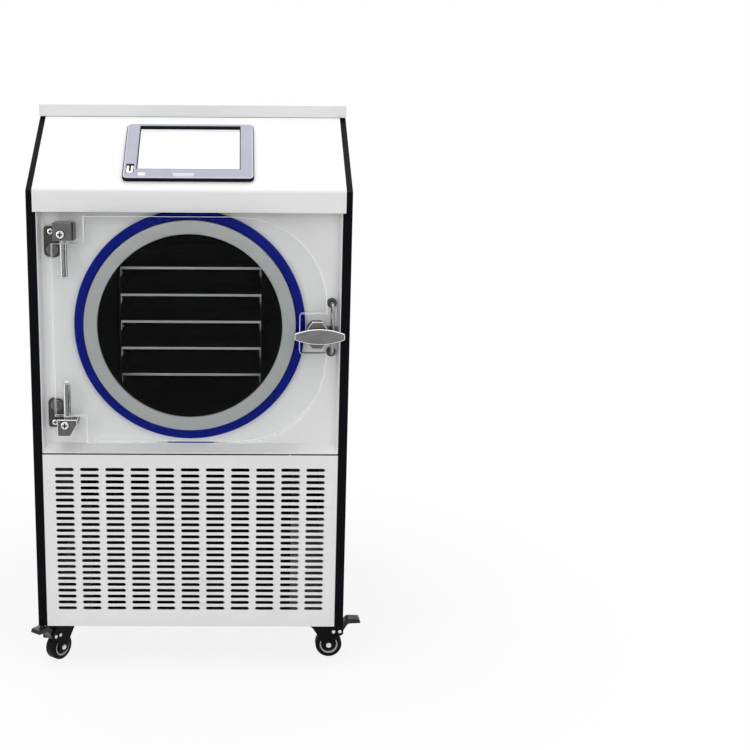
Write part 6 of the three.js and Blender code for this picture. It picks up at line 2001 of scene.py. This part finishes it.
@dataclass
class Studio:
    """Pale floor, white surroundings, soft lamps and the camera. Lengths here are in metres."""

    camera_place: Vector = field(default_factory=lambda: Vector((0.064, -2.1148, 0.8597)))
    pitch: float = 11.488
    yaw: float = -0.5
    roll: float = 0.35
    lens: float = 56.351
    shift: float = 0.1701
    sensor: float = 36.0
    floor_size: float = 14.0
    floor_colour: Colour = (0.9, 0.9, 0.9)
    fade: Point = (0.45, 0.85)
    shadow_lift: float = 0.84
    surroundings: float = 0.46

    def build(self) -> None:
        """Builds everything that is not the object."""
        scene = bpy.context.scene
        scene.view_settings.view_transform = "Standard"
        self.build_world(scene)
        self.build_floor(scene)
        for lamp in LAMPS:
            lamp.build()
        self.build_camera(scene)

    def build_world(self, scene: bpy.types.Scene) -> None:
        """White surroundings, dimmer as a source of light."""
        world = bpy.data.worlds.new("surroundings")
        world.use_nodes = True
        world.node_tree.nodes.clear()
        graph = NodeTree(world.node_tree)
        lit = graph.add("Background", Color=(*WHITE, 1.0), Strength=self.surroundings)
        shown = graph.add("Background", Color=(*WHITE, 1.0), Strength=1.0)
        graph.blend(graph.seen(), lit, shown, graph.add("OutputWorld"))
        scene.world = world

    def build_floor(self, scene: bpy.types.Scene) -> None:
        """Pale floor that keeps the object's shadow and fades to white further out."""
        mesh = bmesh.new()
        bmesh.ops.create_grid(mesh, x_segments=8, y_segments=8, size=self.floor_size / 2)
        data = bpy.data.meshes.new("floor")
        mesh.to_mesh(data)
        mesh.free()
        floor = bpy.data.objects.new("floor", data)
        scene.collection.objects.link(floor)
        graph = ShaderGraph("pale_floor")
        graph.set(Base_Color=(*self.floor_colour, 1.0), Roughness=0.9, Specular_IOR_Level=0.1)
        length = graph.add("VectorMath", Vector=graph.coordinates)
        length.operation = "LENGTH"
        near, far = self.fade
        fade = graph.add(
            "MapRange", Value=length.outputs["Value"], From_Min=near, From_Max=far, To_Min=self.shadow_lift
        )
        fade.interpolation_type = "SMOOTHSTEP"
        share = graph.calculate("MULTIPLY", graph.seen(), fade.outputs[0])
        graph.blend(share, graph.surface, graph.add("Emission"), graph.output)
        data.materials.append(graph.material)

    def build_camera(self, scene: bpy.types.Scene) -> None:
        """Camera a little above the middle of the object, looking down at it."""
        data = bpy.data.cameras.new("camera")
        data.lens = self.lens
        data.sensor_width = self.sensor
        data.shift_x = self.shift
        camera = bpy.data.objects.new("camera", data)
        camera.location = self.camera_place
        turn = Matrix.Rotation(math.radians(self.yaw), 3, "Z")
        tilt = Matrix.Rotation(math.radians(90 - self.pitch), 3, "X")
        roll = Matrix.Rotation(math.radians(self.roll), 3, "Z")
        camera.rotation_euler = (turn @ tilt @ roll).to_euler()
        scene.collection.objects.link(camera)
        scene.camera = camera


def main() -> None:
    """Builds the studio and then the freeze dryer, from the cabinet to the casters."""
    logging.basicConfig(level=logging.INFO, format="%(name)s: %(message)s")
    frame = Frame.load()
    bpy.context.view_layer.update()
    Studio().build()
    Cabinet(frame).build()
    ControlPanel(frame).build()
    Chamber(frame).build()
    Door(frame).build()
    RearFittings(frame).build()
    for name in ("front_left", "front_right", "rear_left", "rear_right"):
        Caster(name, frame, name.startswith("front")).build()
    Machinery(frame).build()


if __name__ == "__main__":
    main()
